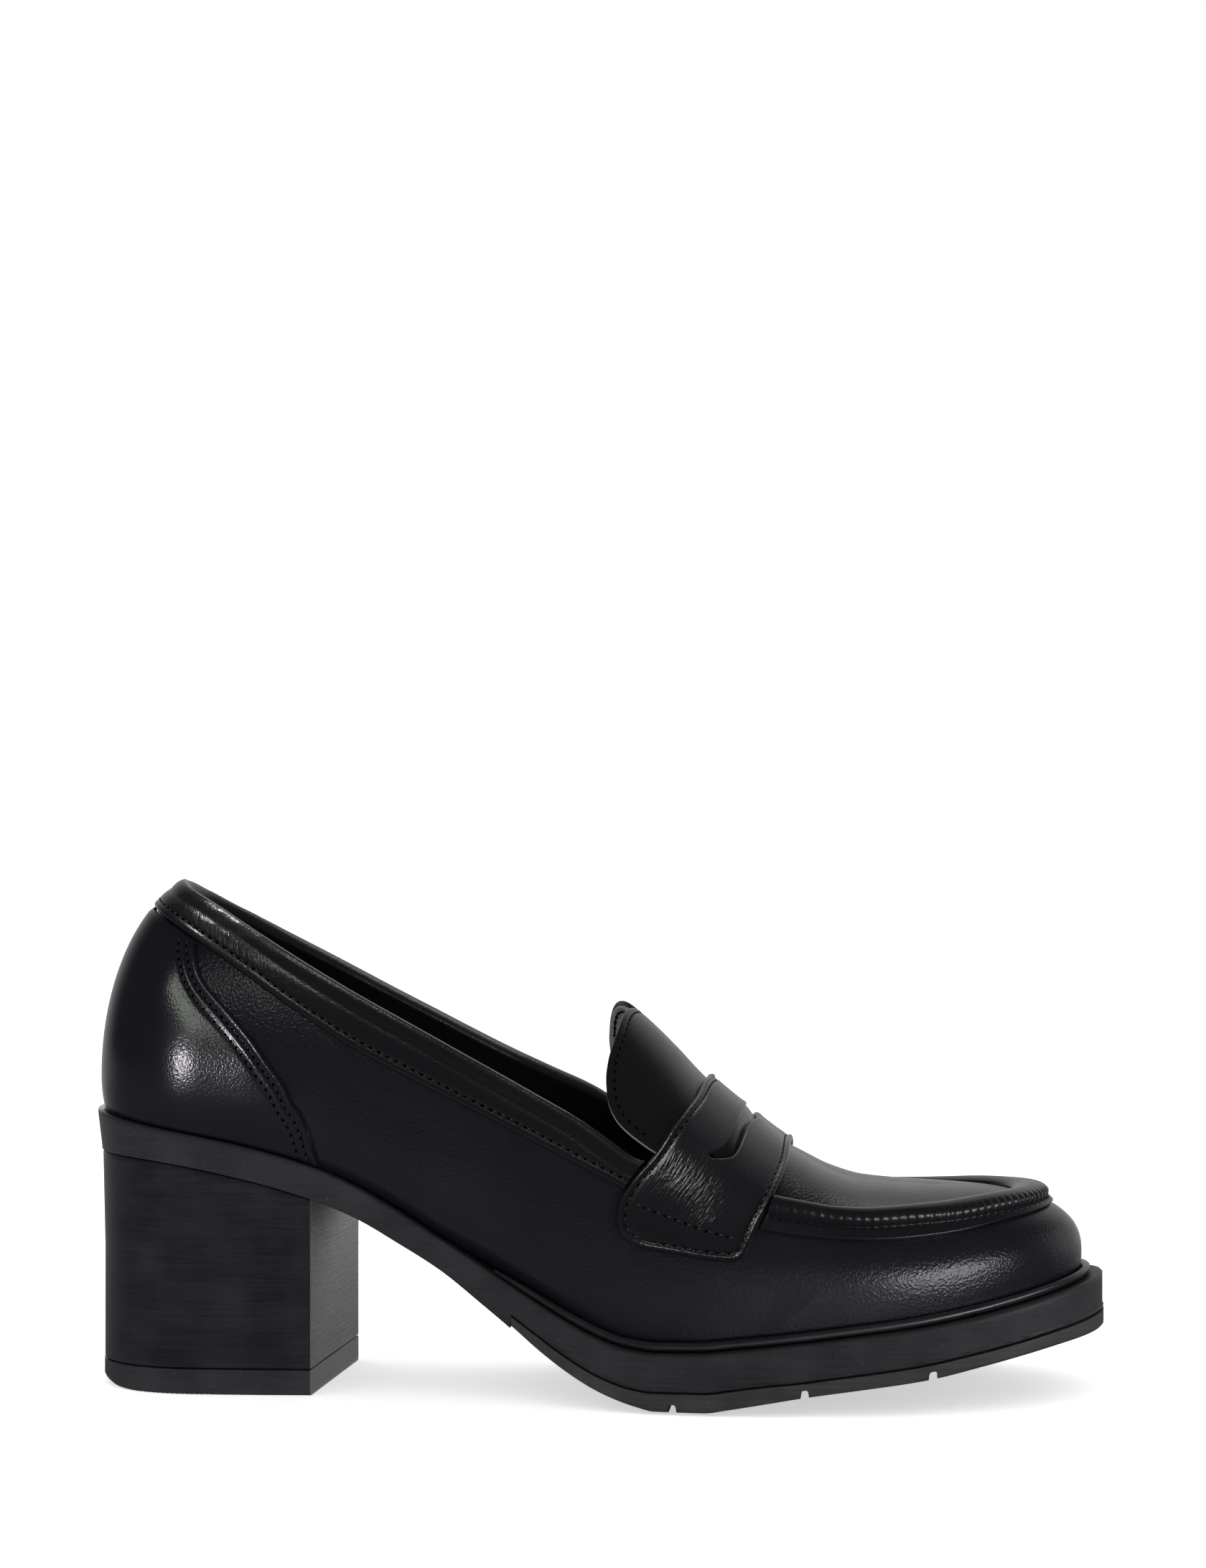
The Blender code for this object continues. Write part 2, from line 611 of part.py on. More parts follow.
def upper():
    """Vamp and quarters in one hollow wall, open at the collar and the throat and underneath."""
    xs = wall_stations()
    route = [(x, -1) for x in xs] + [(x, 1) for x in reversed(xs[1:-1])]

    def rib(x, side, offset):
        top = topline_angle(x, side) if x < THROAT_X else 90.0
        angles = list(UPPER_ROWS)
        angles += [top * (i + 1) / UPPER_ROWS_ABOVE for i in range(UPPER_ROWS_ABOVE)]
        return [last_point(x, a if side < 0 else 180.0 - a, offset) for a in angles]

    outer = [rib(x, side, 0.0) for x, side in route]
    inner = [rib(x, side, -WALL) for x, side in route]
    rows, columns = len(route), len(outer[0])
    under = rows * columns
    points = [p for grid in (outer, inner) for row in grid for p in row]
    faces = []
    for r in range(rows):
        n = (r + 1) % rows
        for c in range(columns - 1):
            quad = (r * columns + c, r * columns + c + 1, n * columns + c + 1, n * columns + c)
            faces += [quad, tuple(under + i for i in reversed(quad))]
        faces.append((r * columns, n * columns, under + n * columns, under + r * columns))
        if min(route[r][0], route[n][0]) < THROAT_X:
            a, b = r * columns + columns - 1, n * columns + columns - 1
            faces.append((a, b, under + b, under + a))
    return mesh_object("upper", points, faces, finish_of("upper_leather", (0.012, 0.012, 0.014), 0.3))


def patch(name, rows, low, high, material):
    """A bent plate over the upper. rows holds lists of (x, angle); low and high are its offsets."""
    outer = [[last_point(x, angle, high) for x, angle in row] for row in rows]
    inner = [[last_point(x, angle, low) for x, angle in row] for row in rows]
    return sheet_solid(name, outer, inner, material)


def over_the_foot(table, count):
    """The table's own angles at both ends, with even steps between, from side to side."""
    start = [row.angle for row in table if row.angle < table[0].angle + 8.0]
    step = (180.0 - 2 * start[-1]) / count
    middle = [start[-1] + step * i for i in range(1, count)]
    return start + middle + [180.0 - angle for angle in reversed(start)]


def saddle_strap():
    """The penny strap across the vamp, with its curved slot."""
    across = 5
    rows = []
    for angle in over_the_foot(STRAP_EDGE, 28):
        height = min(angle, 180.0 - angle)
        rear, front = smooth(STRAP_EDGE, "rear", height), smooth(STRAP_EDGE, "front", height)
        rows.append([(rear + (front - rear) * i / across, angle) for i in range(across + 1)])
    leather = finish_of("strap_leather", (0.013, 0.013, 0.015), 0.32)
    strap = patch("saddle_strap", rows, GAP, GAP + STRAP_THICKNESS, leather)
    cut = strap.modifiers.new("slot", "BOOLEAN")
    cut.operation = "DIFFERENCE"
    cut.solver = "EXACT"
    cut.object = slot_cutter()
    return strap


def slot_cutter():
    """A bar with the slot's outline, passing through the strap all along its bend."""
    low, high = GAP / 2, GAP + STRAP_THICKNESS + SLOT_OVERSHOOT
    rings = []
    for angle in over_the_foot(SLOT_EDGE, 16):
        height = min(angle, 180.0 - angle)
        rear, front = smooth(SLOT_EDGE, "rear", height), smooth(SLOT_EDGE, "front", height)
        corners = [(rear, low), (front, low), (front, high), (rear, high)]
        rings.append([last_point(x, angle, offset) for x, offset in corners])
    cutter = swept_solid("slot_cutter", rings, finish_of("cutter", (1.0, 0.0, 0.0), 0.5))
    cutter.hide_render = True
    cutter.display_type = "WIRE"
    return cutter


def tongue_tab():
    """The apron's tab: it comes out from under the strap and stands up over the instep."""
    across = 6
    rows = []
    for angle in over_the_foot(TAB_EDGE, 18):
        height = min(angle, 180.0 - angle)
        front = smooth(THROAT, "x", height, key="angle") - 2 * GAP
        rear = smooth(TAB_EDGE, "rear", height)
        if angle > 90.0:
            rear -= TAB_LEAN * math.sin(math.pi * (angle - 90.0) / (90.0 - TAB_EDGE[0].angle))
        rows.append([(rear + (front - rear) * i / across, angle) for i in range(across + 1)])
    leather = finish_of("tab_leather", (0.013, 0.013, 0.015), 0.34)
    return patch("tongue_tab", rows, -TAB_THICKNESS, 0.0, leather)


def behind_the_strap(side, angle_of):
    """The rib at which a curve with the given angles meets the strap's rear edge."""
    x = STRAP_EDGE[0].rear
    for _ in range(12):
        x = smooth(STRAP_EDGE, "rear", angle_of(x, side)) - 2 * GAP
    return x


def collar():
    """The folded band round the opening, over the wall's edge and a little way down inside."""
    every = wall_stations()
    low, high = GAP, GAP + COLLAR_THICKNESS
    rings = []
    for x, side in [(x, -1) for x in reversed(every)] + [(x, 1) for x in every[1:]]:
        end_top, end_foot = (behind_the_strap(side, curve) for curve in (topline_angle, collar_angle))
        if x > end_top:
            continue
        x_top, x_foot = x, x
        if every[every.index(x) + 1] > end_top:
            x_top, x_foot = end_top, end_foot
        top = topline_angle(x_top, side)
        foot = collar_angle(x_foot, side)
        lining = angle_at_height(
            x_top, side, lambda px: smooth(TOPLINE, "z", px) - COLLAR_LINING_DEPTH, -WALL
        )
        middle_x, middle = (x_top + x_foot) / 2, (top + foot) / 2

        over = along_the_rib(x_top, top, side, GAP)
        crown = along_the_rib(x_top, top, side, GAP + COLLAR_THICKNESS)

        def at(x, angle, offset):
            return last_point(x, angle if side < 0 else 180.0 - angle, offset)

        inside, deeper = -WALL - low, -WALL - high
        rings.append(
            [
                at(x_foot, foot, low),
                at(x_foot, foot, high),
                at(middle_x, middle, high),
                at(x_top, over, high),
                at(x_top, crown, GAP),
                at(x_top, crown, -WALL - GAP),
                at(x_top, over, deeper),
                at(x_top, lining, deeper),
                at(x_top, lining, inside),
                at(x_top, over, inside),
                at(x_top, over, low),
                at(middle_x, middle, low),
            ]
        )
    return swept_solid("collar", rings, finish_of("collar_leather", (0.012, 0.012, 0.014), 0.3))


def below_the_collar(x, side):
    """The angle just under the collar's lower edge."""
    return along_the_rib(x, collar_angle(x, side), side, -2 * GAP)


def heel_counter():
    """The outside counter round the back, from the sole up to the collar."""
    across, up = 26, 9
    lowest = COUNTER_FOOT_ANGLE
    rows = []
    for i in range(across + 1):
        share = 2.0 * i / across - 1
        side = -1 if share <= 0 else 1
        row = []
        for k in range(up + 1):
            rise = k / up
            front_limit = below_the_collar(COUNTER_EDGE[-1].front, side)
            edge_angle = lowest + (front_limit - lowest) * rise
            front = smooth(COUNTER_EDGE, "front", edge_angle)
            x = front * (1 - math.cos(math.pi / 2 * abs(share)))
            angle = lowest + (below_the_collar(x, side) - lowest) * rise
            at_front = lowest + (below_the_collar(front, side) - lowest) * rise
            angle += (edge_angle - at_front) * share**2
            row.append((x, angle if side < 0 else 180.0 - angle))
        rows.append(row)
    leather = finish_of("counter_leather", (0.012, 0.012, 0.014), 0.28)
    return patch("heel_counter", rows, COUNTER_GAP, COUNTER_GAP + COUNTER_THICKNESS, leather)


def apron_seam():
    """The raised seam round the apron: a stitched flange with a roll above it."""
    xs = stations(165.0, LENGTH, STATION_COUNT)
    route = both_sides(xs)
    route.remove((LENGTH, 1))
    rings = []
    for x, side in route:
        outer, inner = smooth(MOC_SEAM, "outer", x), smooth(MOC_SEAM, "inner", x)
        ring = []
        for spot in ROLL_PROFILE:
            angle = outer + (inner - outer) * spot.across
            start = smooth(STRAP_EDGE, "front", angle) + ROLL_CLEARANCE
            at = max(x, start) if x < ROLL_CUT_X else x
            ring.append(last_point(at, angle if side < 0 else 180.0 - angle, spot.height))
        rings.append(ring)
    return swept_solid("apron_seam", rings, finish_of("apron_leather", (0.012, 0.012, 0.014), 0.3))


def put_origin_under_the_middle(shoe):
    """Moves the shoe so that its box is centred over the origin in X and Y."""
    pieces = [piece for piece in shoe.children if not piece.hide_render]
    for axis in (0, 1):
        places = [vertex.co[axis] for piece in pieces for vertex in piece.data.vertices]
        shoe.location[axis] = -(min(places) + max(places)) / 2


def main():
    for old in list(bpy.data.objects):
        bpy.data.objects.remove(old)
    shoe = bpy.data.objects.new("shoe", None)
    bpy.context.scene.collection.objects.link(shoe)
    outsole()
    forepart_tread()
    heel_block()
    heel_top_piece()
    welt_bead()
    insole()
    upper()
    saddle_strap()
    tongue_tab()
    collar()
    heel_counter()
    apron_seam()
    put_origin_under_the_middle(shoe)


main()
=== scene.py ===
"""The looks of the loafer pump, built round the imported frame.

Every leather and rubber part is drawn again on the same last as the frame's solids, with many more
points, rounded edges, stitches, creases and grain, and replaces its plain solid. Lengths are in
millimetres, with X from the back of the sole's rim to the toe, Y towards the inner side of the
foot and Z up, until they are moved into the frame.

A place on the leather is given by a rib and an angle: the rib starts at the sole's rim, x from the
back, and the angle is 0 at the widest point of the outer side, 90 over the foot's middle and 180
at the widest point of the inner side.
"""

import math
import random
from collections import namedtuple

import bmesh
import bpy
import numpy as np
from mathutils import Euler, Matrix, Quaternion, Vector


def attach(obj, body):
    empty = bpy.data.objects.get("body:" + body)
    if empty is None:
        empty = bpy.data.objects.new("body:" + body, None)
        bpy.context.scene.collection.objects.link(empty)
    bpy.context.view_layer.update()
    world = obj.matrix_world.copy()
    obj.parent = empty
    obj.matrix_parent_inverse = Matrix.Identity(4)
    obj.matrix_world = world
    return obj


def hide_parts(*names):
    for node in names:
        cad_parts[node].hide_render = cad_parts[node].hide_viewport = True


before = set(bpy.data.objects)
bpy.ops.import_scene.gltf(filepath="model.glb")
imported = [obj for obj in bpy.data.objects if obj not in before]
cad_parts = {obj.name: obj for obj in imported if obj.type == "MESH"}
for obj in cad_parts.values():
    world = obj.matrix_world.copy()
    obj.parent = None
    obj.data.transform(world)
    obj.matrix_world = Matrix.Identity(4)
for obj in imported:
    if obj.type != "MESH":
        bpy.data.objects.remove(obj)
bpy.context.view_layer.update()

MM = 0.001
ORIGIN = np.array((-0.12455, -0.000085, 0.0))   # of the drawing, in the frame

LENGTH = 248.8
GAP = 0.3
WALL = 1.8
INSOLE_THICKNESS = 2.4

HEEL_ROUND = 31.0
HEEL_SQUARENESS = 2.5
TOE_ROUND = 62.0
TOE_SQUARENESS = 2.0
FOOT_ARC = 28.0

HEEL_SPINE = 29.0
HEEL_FAN_END = 80.0
TOE_SPINE = 207.0
TOE_FAN_START = 150.0

BREAST_LATERAL = 57.0
BREAST_MEDIAL = 60.2
HEEL_INSET = 1.3
HEEL_DRAW = 0.5
HEEL_DRAW_HEIGHT = 0.55
HEEL_FLARE = 1.0
HEEL_EDGE = 0.25
TOP_PIECE_HEIGHT = 6.2
TOP_PIECE_INSET = 0.4
TOP_PIECE_REAR = 14.0
TOOTH_DEPTH = 0.42
TOOTH_PITCH = 1.25
TEETH_END = 34.0
TEETH_FADE = 4.0

TREAD_START = 106.7
GROOVES = (146.0, 177.0, 207.0)
GROOVE_WIDTH = 2.0
GROOVE_DEPTH = 2.5
TREAD_LIP = 0.3
FLASH = 0.22
TREAD_BEVEL = 6.0

THROAT_X = 157.0
SEAM_START = 165.0
STRAP_THICKNESS = 1.6
BACKING_REAR = 1.4
BACKING_FRONT = 0.25
TAB_THICKNESS = 2.2
TAB_LEAN = 3.8
COLLAR_THICKNESS = 1.2
COLLAR_LINING_DEPTH = 5.0
COUNTER_THICKNESS = 0.8
COUNTER_GAP = 0.45
COUNTER_FOOT_ANGLE = -86.0
ROLL_HEIGHT = 3.4
ROLL_CLEARANCE = 0.5
PUCKER_PITCH = 2.15

COLLAR_SEAM = 2.1   # the rows of stitches' distances from the edge
COUNTER_SEAMS = (2.2, 4.3)
STRAP_SEAM = 1.9
TAB_SEAM = 1.9
COLLAR_PITCH = 2.35
COUNTER_PITCH = 2.1
STRAP_PITCH = 2.6
TAB_PITCH = 2.3


def table(columns, *rows):
    """Rows with named columns."""
    row = namedtuple("Row", columns)
    return [row(*values) for values in rows]


SOLE = table(
    "x rim_z bottom_z tread lateral medial swing",
    (0.0, 68.2, 57.6, 0.0, 29.4, 29.4, 0.0),
    (10.0, 66.2, 57.2, 0.0, 29.4, 29.4, 0.0),
    (20.0, 64.4, 56.2, 0.0, 29.5, 29.5, 0.0),
    (40.0, 60.5, 52.4, 0.0, 29.4, 29.4, 0.0),
    (57.0, 55.7, 47.6, 0.0, 28.6, 28.2, 0.0),
    (68.0, 50.9, 43.2, 0.0, 28.0, 26.6, -0.2),
    (79.0, 44.8, 37.0, 0.0, 27.7, 25.2, -0.4),
    (89.0, 38.6, 31.0, 0.0, 28.2, 24.4, -0.6),
    (100.0, 32.0, 22.8, 2.6, 29.9, 24.6, -0.8),
    (106.7, 28.0, 17.8, 3.0, 31.8, 25.6, -0.9),
    (114.0, 23.8, 12.2, 3.8, 34.5, 27.6, -1.0),
    (121.0, 20.0, 7.6, 4.0, 37.1, 30.0, -1.0),
    (127.5, 17.0, 4.2, 4.1, 39.4, 32.6, -1.0),
    (133.0, 15.1, 2.1, 4.2, 41.0, 35.0, -1.0),
    (138.0, 14.2, 0.7, 4.5, 42.2, 37.0, -0.9),
    (141.5, 13.9, 0.0, 4.9, 42.9, 38.2, -0.8),
    (153.5, 14.2, 0.0, 5.0, 44.3, 41.5, -0.6),
    (159.0, 14.8, 0.8, 4.9, 44.6, 42.5, -0.4),
    (168.0, 15.7, 2.3, 4.6, 44.7, 43.4, 0.0),
    (177.0, 16.7, 3.8, 4.0, 44.6, 43.8, 0.5),
    (190.0, 18.3, 5.5, 4.0, 44.2, 43.8, 1.4),
    (204.0, 20.0, 7.3, 4.0, 43.8, 43.4, 2.3),
    (219.0, 22.5, 10.0, 4.0, 43.4, 43.0, 3.2),
    (230.0, 24.7, 12.0, 4.1, 43.1, 43.0, 3.8),
    (238.0, 26.4, 13.4, 4.3, 43.0, 43.0, 4.1),
    (LENGTH, 28.9, 14.8, 4.8, 43.0, 43.0, 4.4),
)

UPPER = table(
    "x foot_inset side_lateral side_medial side_rise squareness",
    (0.0, 3.2, 2.1, 2.1, 8.0, 2.0),
    (30.0, 3.0, 1.2, 1.2, 11.0, 2.0),
    (57.0, 2.8, -0.4, 0.4, 14.0, 2.0),
    (85.0, 3.2, -3.2, -1.4, 15.5, 2.0),
    (105.0, 5.6, -1.2, 0.4, 14.5, 2.0),
    (116.0, 6.3, 0.6, 1.2, 14.0, 2.0),
    (125.0, 6.6, 2.1, 2.5, 13.5, 2.0),
    (137.0, 6.6, 3.5, 3.7, 13.4, 2.0),
    (147.0, 6.3, 4.0, 4.2, 13.3, 2.05),
    (165.0, 6.1, 4.3, 4.5, 12.3, 2.1),
    (195.0, 6.0, 4.5, 4.7, 10.6, 2.3),
    (225.0, 6.0, 4.8, 4.9, 7.0, 2.5),
    (LENGTH, 6.0, 5.1, 5.1, 4.0, 2.6),
)

CREST = table(
    "x z",
    (29.0, 125.0), (50.0, 127.0), (70.0, 124.6), (90.0, 118.0),
    (110.0, 108.6), (122.0, 101.0), (131.0, 94.6), (136.0, 90.6),
    (143.0, 83.8), (150.0, 76.3), (156.0, 71.0), (160.5, 67.3),
    (165.0, 63.5), (169.3, 60.2), (175.0, 56.8), (180.0, 53.9),
    (187.0, 51.3), (196.0, 50.2), (207.0, 49.5),
)

TOPLINE = table(
    "x z medial_lift drop",
    (0.0, 123.0, 0.0, 5.2), (19.0, 123.0, -0.3, 5.2), (24.0, 120.8, -1.2, 6.6),
    (31.0, 117.4, -2.2, 8.2), (42.0, 111.1, -1.9, 9.8),
    (55.0, 103.4, -1.0, 11.2), (67.5, 96.4, -0.5, 12.0),
    (82.0, 88.7, -0.1, 11.6), (96.0, 81.1, 0.6, 10.8),
    (110.0, 73.7, 1.6, 10.2), (123.0, 66.6, 2.4, 9.4),
    (130.5, 61.6, 2.4, 8.0), (137.0, 57.6, 2.0, 7.0), (141.0, 57.0, 1.6, 7.0),
)

THROAT = table(
    "x angle",
    (141.0, 29.0), (146.0, 37.5), (150.0, 47.0), (153.5, 59.0),
    (156.0, 76.0), (THROAT_X, 90.0),
)

WELT = table(
    "x inset diameter",
    (102.5, 1.4, 0.9), (108.0, 1.8, 1.5), (116.0, 2.5, 2.0), (125.0, 3.3, 2.2),
    (137.0, 4.0, 2.2), (147.0, 4.1, 2.2), (LENGTH, 4.1, 2.2),
)

STRAP_EDGE = table(
    "angle rear front",
    (10.2, 138.2, 158.6), (10.7, 135.9, 160.6), (11.5, 134.1, 161.8),
    (12.8, 133.1, 162.7), (15.4, 132.7, 163.7), (18.4, 133.2, 164.6),
    (21.2, 134.5, 165.3), (25.6, 136.8, 166.4), (30.8, 139.9, 167.9),
    (36.4, 142.4, 169.2), (43.7, 144.8, 170.6), (52.1, 147.2, 172.0),
    (66.1, 149.9, 173.5), (90.0, 151.7, 174.4),
)

SLOT_EDGE = table(
    "angle rear front",
    (42.4, 153.6, 154.6), (44.6, 155.0, 157.0), (47.0, 156.3, 158.9),
    (51.3, 157.6, 160.1), (58.0, 158.8, 161.0), (67.0, 159.9, 161.9),
    (75.0, 160.4, 162.8), (83.0, 160.9, 163.9), (90.0, 161.1, 164.5),
)

TAB_EDGE = table(
    "angle rear",
    (35.0, 140.2), (35.3, 137.5), (35.8, 134.8), (37.0, 132.0),
    (39.5, 130.0), (43.0, 129.1), (47.2, 128.8), (52.3, 129.1),
    (58.0, 129.8), (66.0, 130.7), (76.0, 131.5), (84.0, 132.3),
    (90.0, 133.2),
)

COUNTER_EDGE = table(
    "angle front",
    (-80.0, 59.1), (-34.0, 57.5), (-4.5, 54.8),
    (3.9, 51.8), (8.5, 48.0), (14.8, 43.0),
    (22.2, 36.0), (30.6, 28.4), (40.6, 24.0),
)

MOC_SEAM = table(
    "x outer inner",
    (163.0, 23.4, 39.0), (182.5, 24.3, 42.6), (197.0, 25.4, 47.3),
    (215.5, 29.0, 53.2), (230.7, 35.2, 58.6), (243.3, 40.3, 62.0),
    (LENGTH, 42.3, 64.0),
)


# the last


def smooth(rows, column, at, key=None):
    """The column's value at each place, on a monotone cubic curve through the table's rows."""
    xs = np.array([getattr(row, key or rows[0]._fields[0]) for row in rows])
    ys = np.array([getattr(row, column) for row in rows])
    steps = np.diff(ys) / np.diff(xs)
    before, after = steps[:-1], steps[1:]
    rising = before * after > 0.0
    slopes = np.zeros(len(xs))
    slopes[0], slopes[-1] = steps[0], steps[-1]
    slopes[1:-1] = np.where(rising, 2.0 * before * after / np.where(rising, before + after, 1.0), 0.0)
    at = np.clip(at, xs[0], xs[-1])
    i = np.clip(np.searchsorted(xs, at, side="right") - 1, 0, len(xs) - 2)
    width = xs[i + 1] - xs[i]
    t = (at - xs[i]) / width
    return (
        ys[i] * (1 + 2 * t) * (1 - t) ** 2
        + slopes[i] * width * t * (1 - t) ** 2
        + ys[i + 1] * t * t * (3 - 2 * t)
        - slopes[i + 1] * width * t * t * (1 - t)
    )


def rim_z(x):
    """Height of the sole's top edge."""
    return smooth(SOLE, "rim_z", x)


def rim(x, side):
    """Plan of the sole's rim. side is -1 on the outer side and 1 on the inner."""
    at_heel = np.maximum(0.0, 1 - np.asarray(x, float) / HEEL_ROUND)
    at_toe = np.clip((x - (LENGTH - TOE_ROUND)) / TOE_ROUND, 0.0, 1.0)
    rounding = (1 - at_heel**HEEL_SQUARENESS) ** (1 / HEEL_SQUARENESS)
    rounding = rounding * (1 - at_toe**TOE_SQUARENESS) ** (1 / TOE_SQUARENESS)
    width = np.where(side < 0, smooth(SOLE, "lateral", x), smooth(SOLE, "medial", x))
    return x, smooth(SOLE, "swing", x) + side * width * rounding


def spine(x):
    """Plan of the crest point over which the rib at x ends."""
    at_heel = HEEL_SPINE / HEEL_FAN_END**2
    at_toe = (LENGTH - TOE_SPINE) / (LENGTH - TOE_FAN_START) ** 2
    along = x + at_heel * np.maximum(0.0, HEEL_FAN_END - x) ** 2
    along = along - at_toe * np.maximum(0.0, x - TOE_FAN_START) ** 2
    return along, smooth(SOLE, "swing", along)


def inset_rim(x, side, inset):
    """The rim's point at x, moved along its rib towards the spine."""
    rx, ry = rim(x, side)
    sx, sy = spine(x)
    reach = np.hypot(sx - rx, sy - ry)
    return rx + (sx - rx) * inset / reach, ry + (sy - ry) * inset / reach


def last(x, angle, offset=0.0):
    """Points of the leather's outer face, moved out by offset. Angles below 0 run down to the foot."""
    x, angle, offset = np.broadcast_arrays(*(np.asarray(v, float) for v in (x, angle, offset)))
    side = np.where(angle <= 90.0, -1.0, 1.0)
    angle = np.where(side < 0, angle, 180.0 - angle)
    rx, ry = rim(x, side)
    sx, sy = spine(x)
    reach = np.hypot(sx - rx, sy - ry)
    inset = np.where(side < 0, smooth(UPPER, "side_lateral", x), smooth(UPPER, "side_medial", x))
    widest = reach - inset + offset
    side_z = rim_z(x) + smooth(UPPER, "side_rise", x)
    power = 2.0 / smooth(UPPER, "squareness", x)
    above = np.radians(np.clip(angle, 0.0, 90.0))
    away_above = widest * np.maximum(0.0, np.cos(above)) ** power
    z_above = side_z + (smooth(CREST, "z", sx) + offset - side_z) * np.sin(above) ** power
    foot_inset = smooth(UPPER, "foot_inset", x) - offset
    foot_z = rim_z(inset_rim(x, side, foot_inset)[0]) + GAP
    turn = np.radians(FOOT_ARC + (90.0 - FOOT_ARC) * (1 + np.minimum(angle, 0.0) / 90.0))
    start = math.radians(FOOT_ARC)
    out = (np.sin(turn) - math.sin(start)) / (1 - math.sin(start))
    up = (math.cos(start) - np.cos(turn)) / math.cos(start)
    away_below = reach - foot_inset + (widest - reach + foot_inset) * out
    away = np.where(angle >= 0.0, away_above, away_below)
    z = np.where(angle >= 0.0, z_above, foot_z + (side_z - foot_z) * up)
    return np.stack([sx + (rx - sx) * away / reach, sy + (ry - sy) * away / reach, z], axis=-1)


def on_side(angle, side):
    """An angle counted from the widest point of its own side, as an angle of last()."""
    return np.where(np.asarray(side) < 0, angle, 180.0 - angle)


def angle_at_height(x, side, height_of, offset=0.0):
    """The angle on each rib at which its z is height_of(actual x there), found by halving."""
    low, high = np.zeros(np.shape(x)), np.full(np.shape(x), 90.0)
    for _ in range(36):
        middle = (low + high) / 2
        spot = last(x, on_side(middle, side), offset)
        below = spot[..., 2] < height_of(spot[..., 0])
        low, high = np.where(below, middle, low), np.where(below, high, middle)
    return (low + high) / 2


def topline_angle(x, side):
    """Where the upper's edge crosses each rib: at the collar, then along the throat."""
    lifted = np.where(np.asarray(side) > 0, 1.0, 0.0)

    def edge(px):
        return smooth(TOPLINE, "z", px) + lifted * smooth(TOPLINE, "medial_lift", px)

    return np.where(x >= THROAT[0].x, smooth(THROAT, "angle", x), angle_at_height(x, side, edge))


def collar_angle(x, side):
    """Where the collar's lower edge crosses each rib."""
    top = last(x, on_side(topline_angle(x, side), side))
    low = top[..., 2] - smooth(TOPLINE, "drop", top[..., 0])
    return angle_at_height(x, side, lambda px: low)


def along_the_rib(x, angle, side, distance):
    """The angle that lies this many millimetres further up the rib."""
    near, far = last(x, on_side(angle, side)), last(x, on_side(angle + 1.0, side))
    return angle + distance / np.linalg.norm(far - near, axis=-1)


# grids and meshes

MERGE = 0.004   # points closer than this become one


def unit(vectors):
    """The vectors at length 1."""
    return vectors / np.maximum(np.linalg.norm(vectors, axis=-1, keepdims=True), 1e-9)


def grid_normals(points, centre, wrap=False):
    """Normals of a grid of points, which turn away from the centre."""
    if wrap:
        du = np.roll(points, -1, axis=0) - np.roll(points, 1, axis=0)
    else:
        du = np.gradient(points, axis=0)
    dv = np.gradient(points, axis=1)
    normals = unit(np.cross(du, dv))
    return normals if (normals * (points - np.array(centre))).sum() > 0 else -normals


def distance_to(points, line):
    """Each point's distance from a line through points."""
    best = np.full(points.shape[:-1], 1e9)
    for start, end in zip(line[:-1], line[1:]):
        run = end - start
        share = np.clip((points - start) @ run / max(run @ run, 1e-12), 0.0, 1.0)
        gap = points - start - share[..., None] * run
        best = np.minimum(best, (gap * gap).sum(axis=-1))
    return np.sqrt(best)


def bump(distance, at, width):
    """A bell of height 1 round the given distance."""
    return np.exp(-(((distance - at) / width) ** 2))


def run_along(line):
    """The length of a line up to each of its points."""
    return np.concatenate([[0.0], np.cumsum(np.linalg.norm(np.diff(line, axis=0), axis=1))])


# a grid of points for piece(), with the faces to leave out and values to keep at the points
Grid = namedtuple(
    "Grid",
    "points wrap_rows wrap_columns skip material marks caps",
    defaults=(False, False, None, 0, None, False),
)


def grid_faces(shape, first, wrap_rows, wrap_columns, skip):
    """The quads of a grid of points that starts at the given vertex."""
    rows, columns = shape
    r = np.arange(rows if wrap_rows else rows - 1)
    c = np.arange(columns if wrap_columns else columns - 1)
    if skip is None:
        r, c = (v.ravel() for v in np.meshgrid(r, c, indexing="ij"))
    else:
        r, c = np.nonzero(~skip)
    n, m = (r + 1) % rows, (c + 1) % columns
    quads = np.stack([r * columns + c, r * columns + m, n * columns + m, n * columns + c], axis=1)
    return quads + first


def show(name, mesh, replaced):
    """The mesh as an object that rides on the body and stands for the frame's nodes."""
    made = bpy.data.objects.new(name, mesh)
    bpy.context.scene.collection.objects.link(made)
    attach(made, "root")
    if replaced:
        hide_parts(*replaced)
    return made


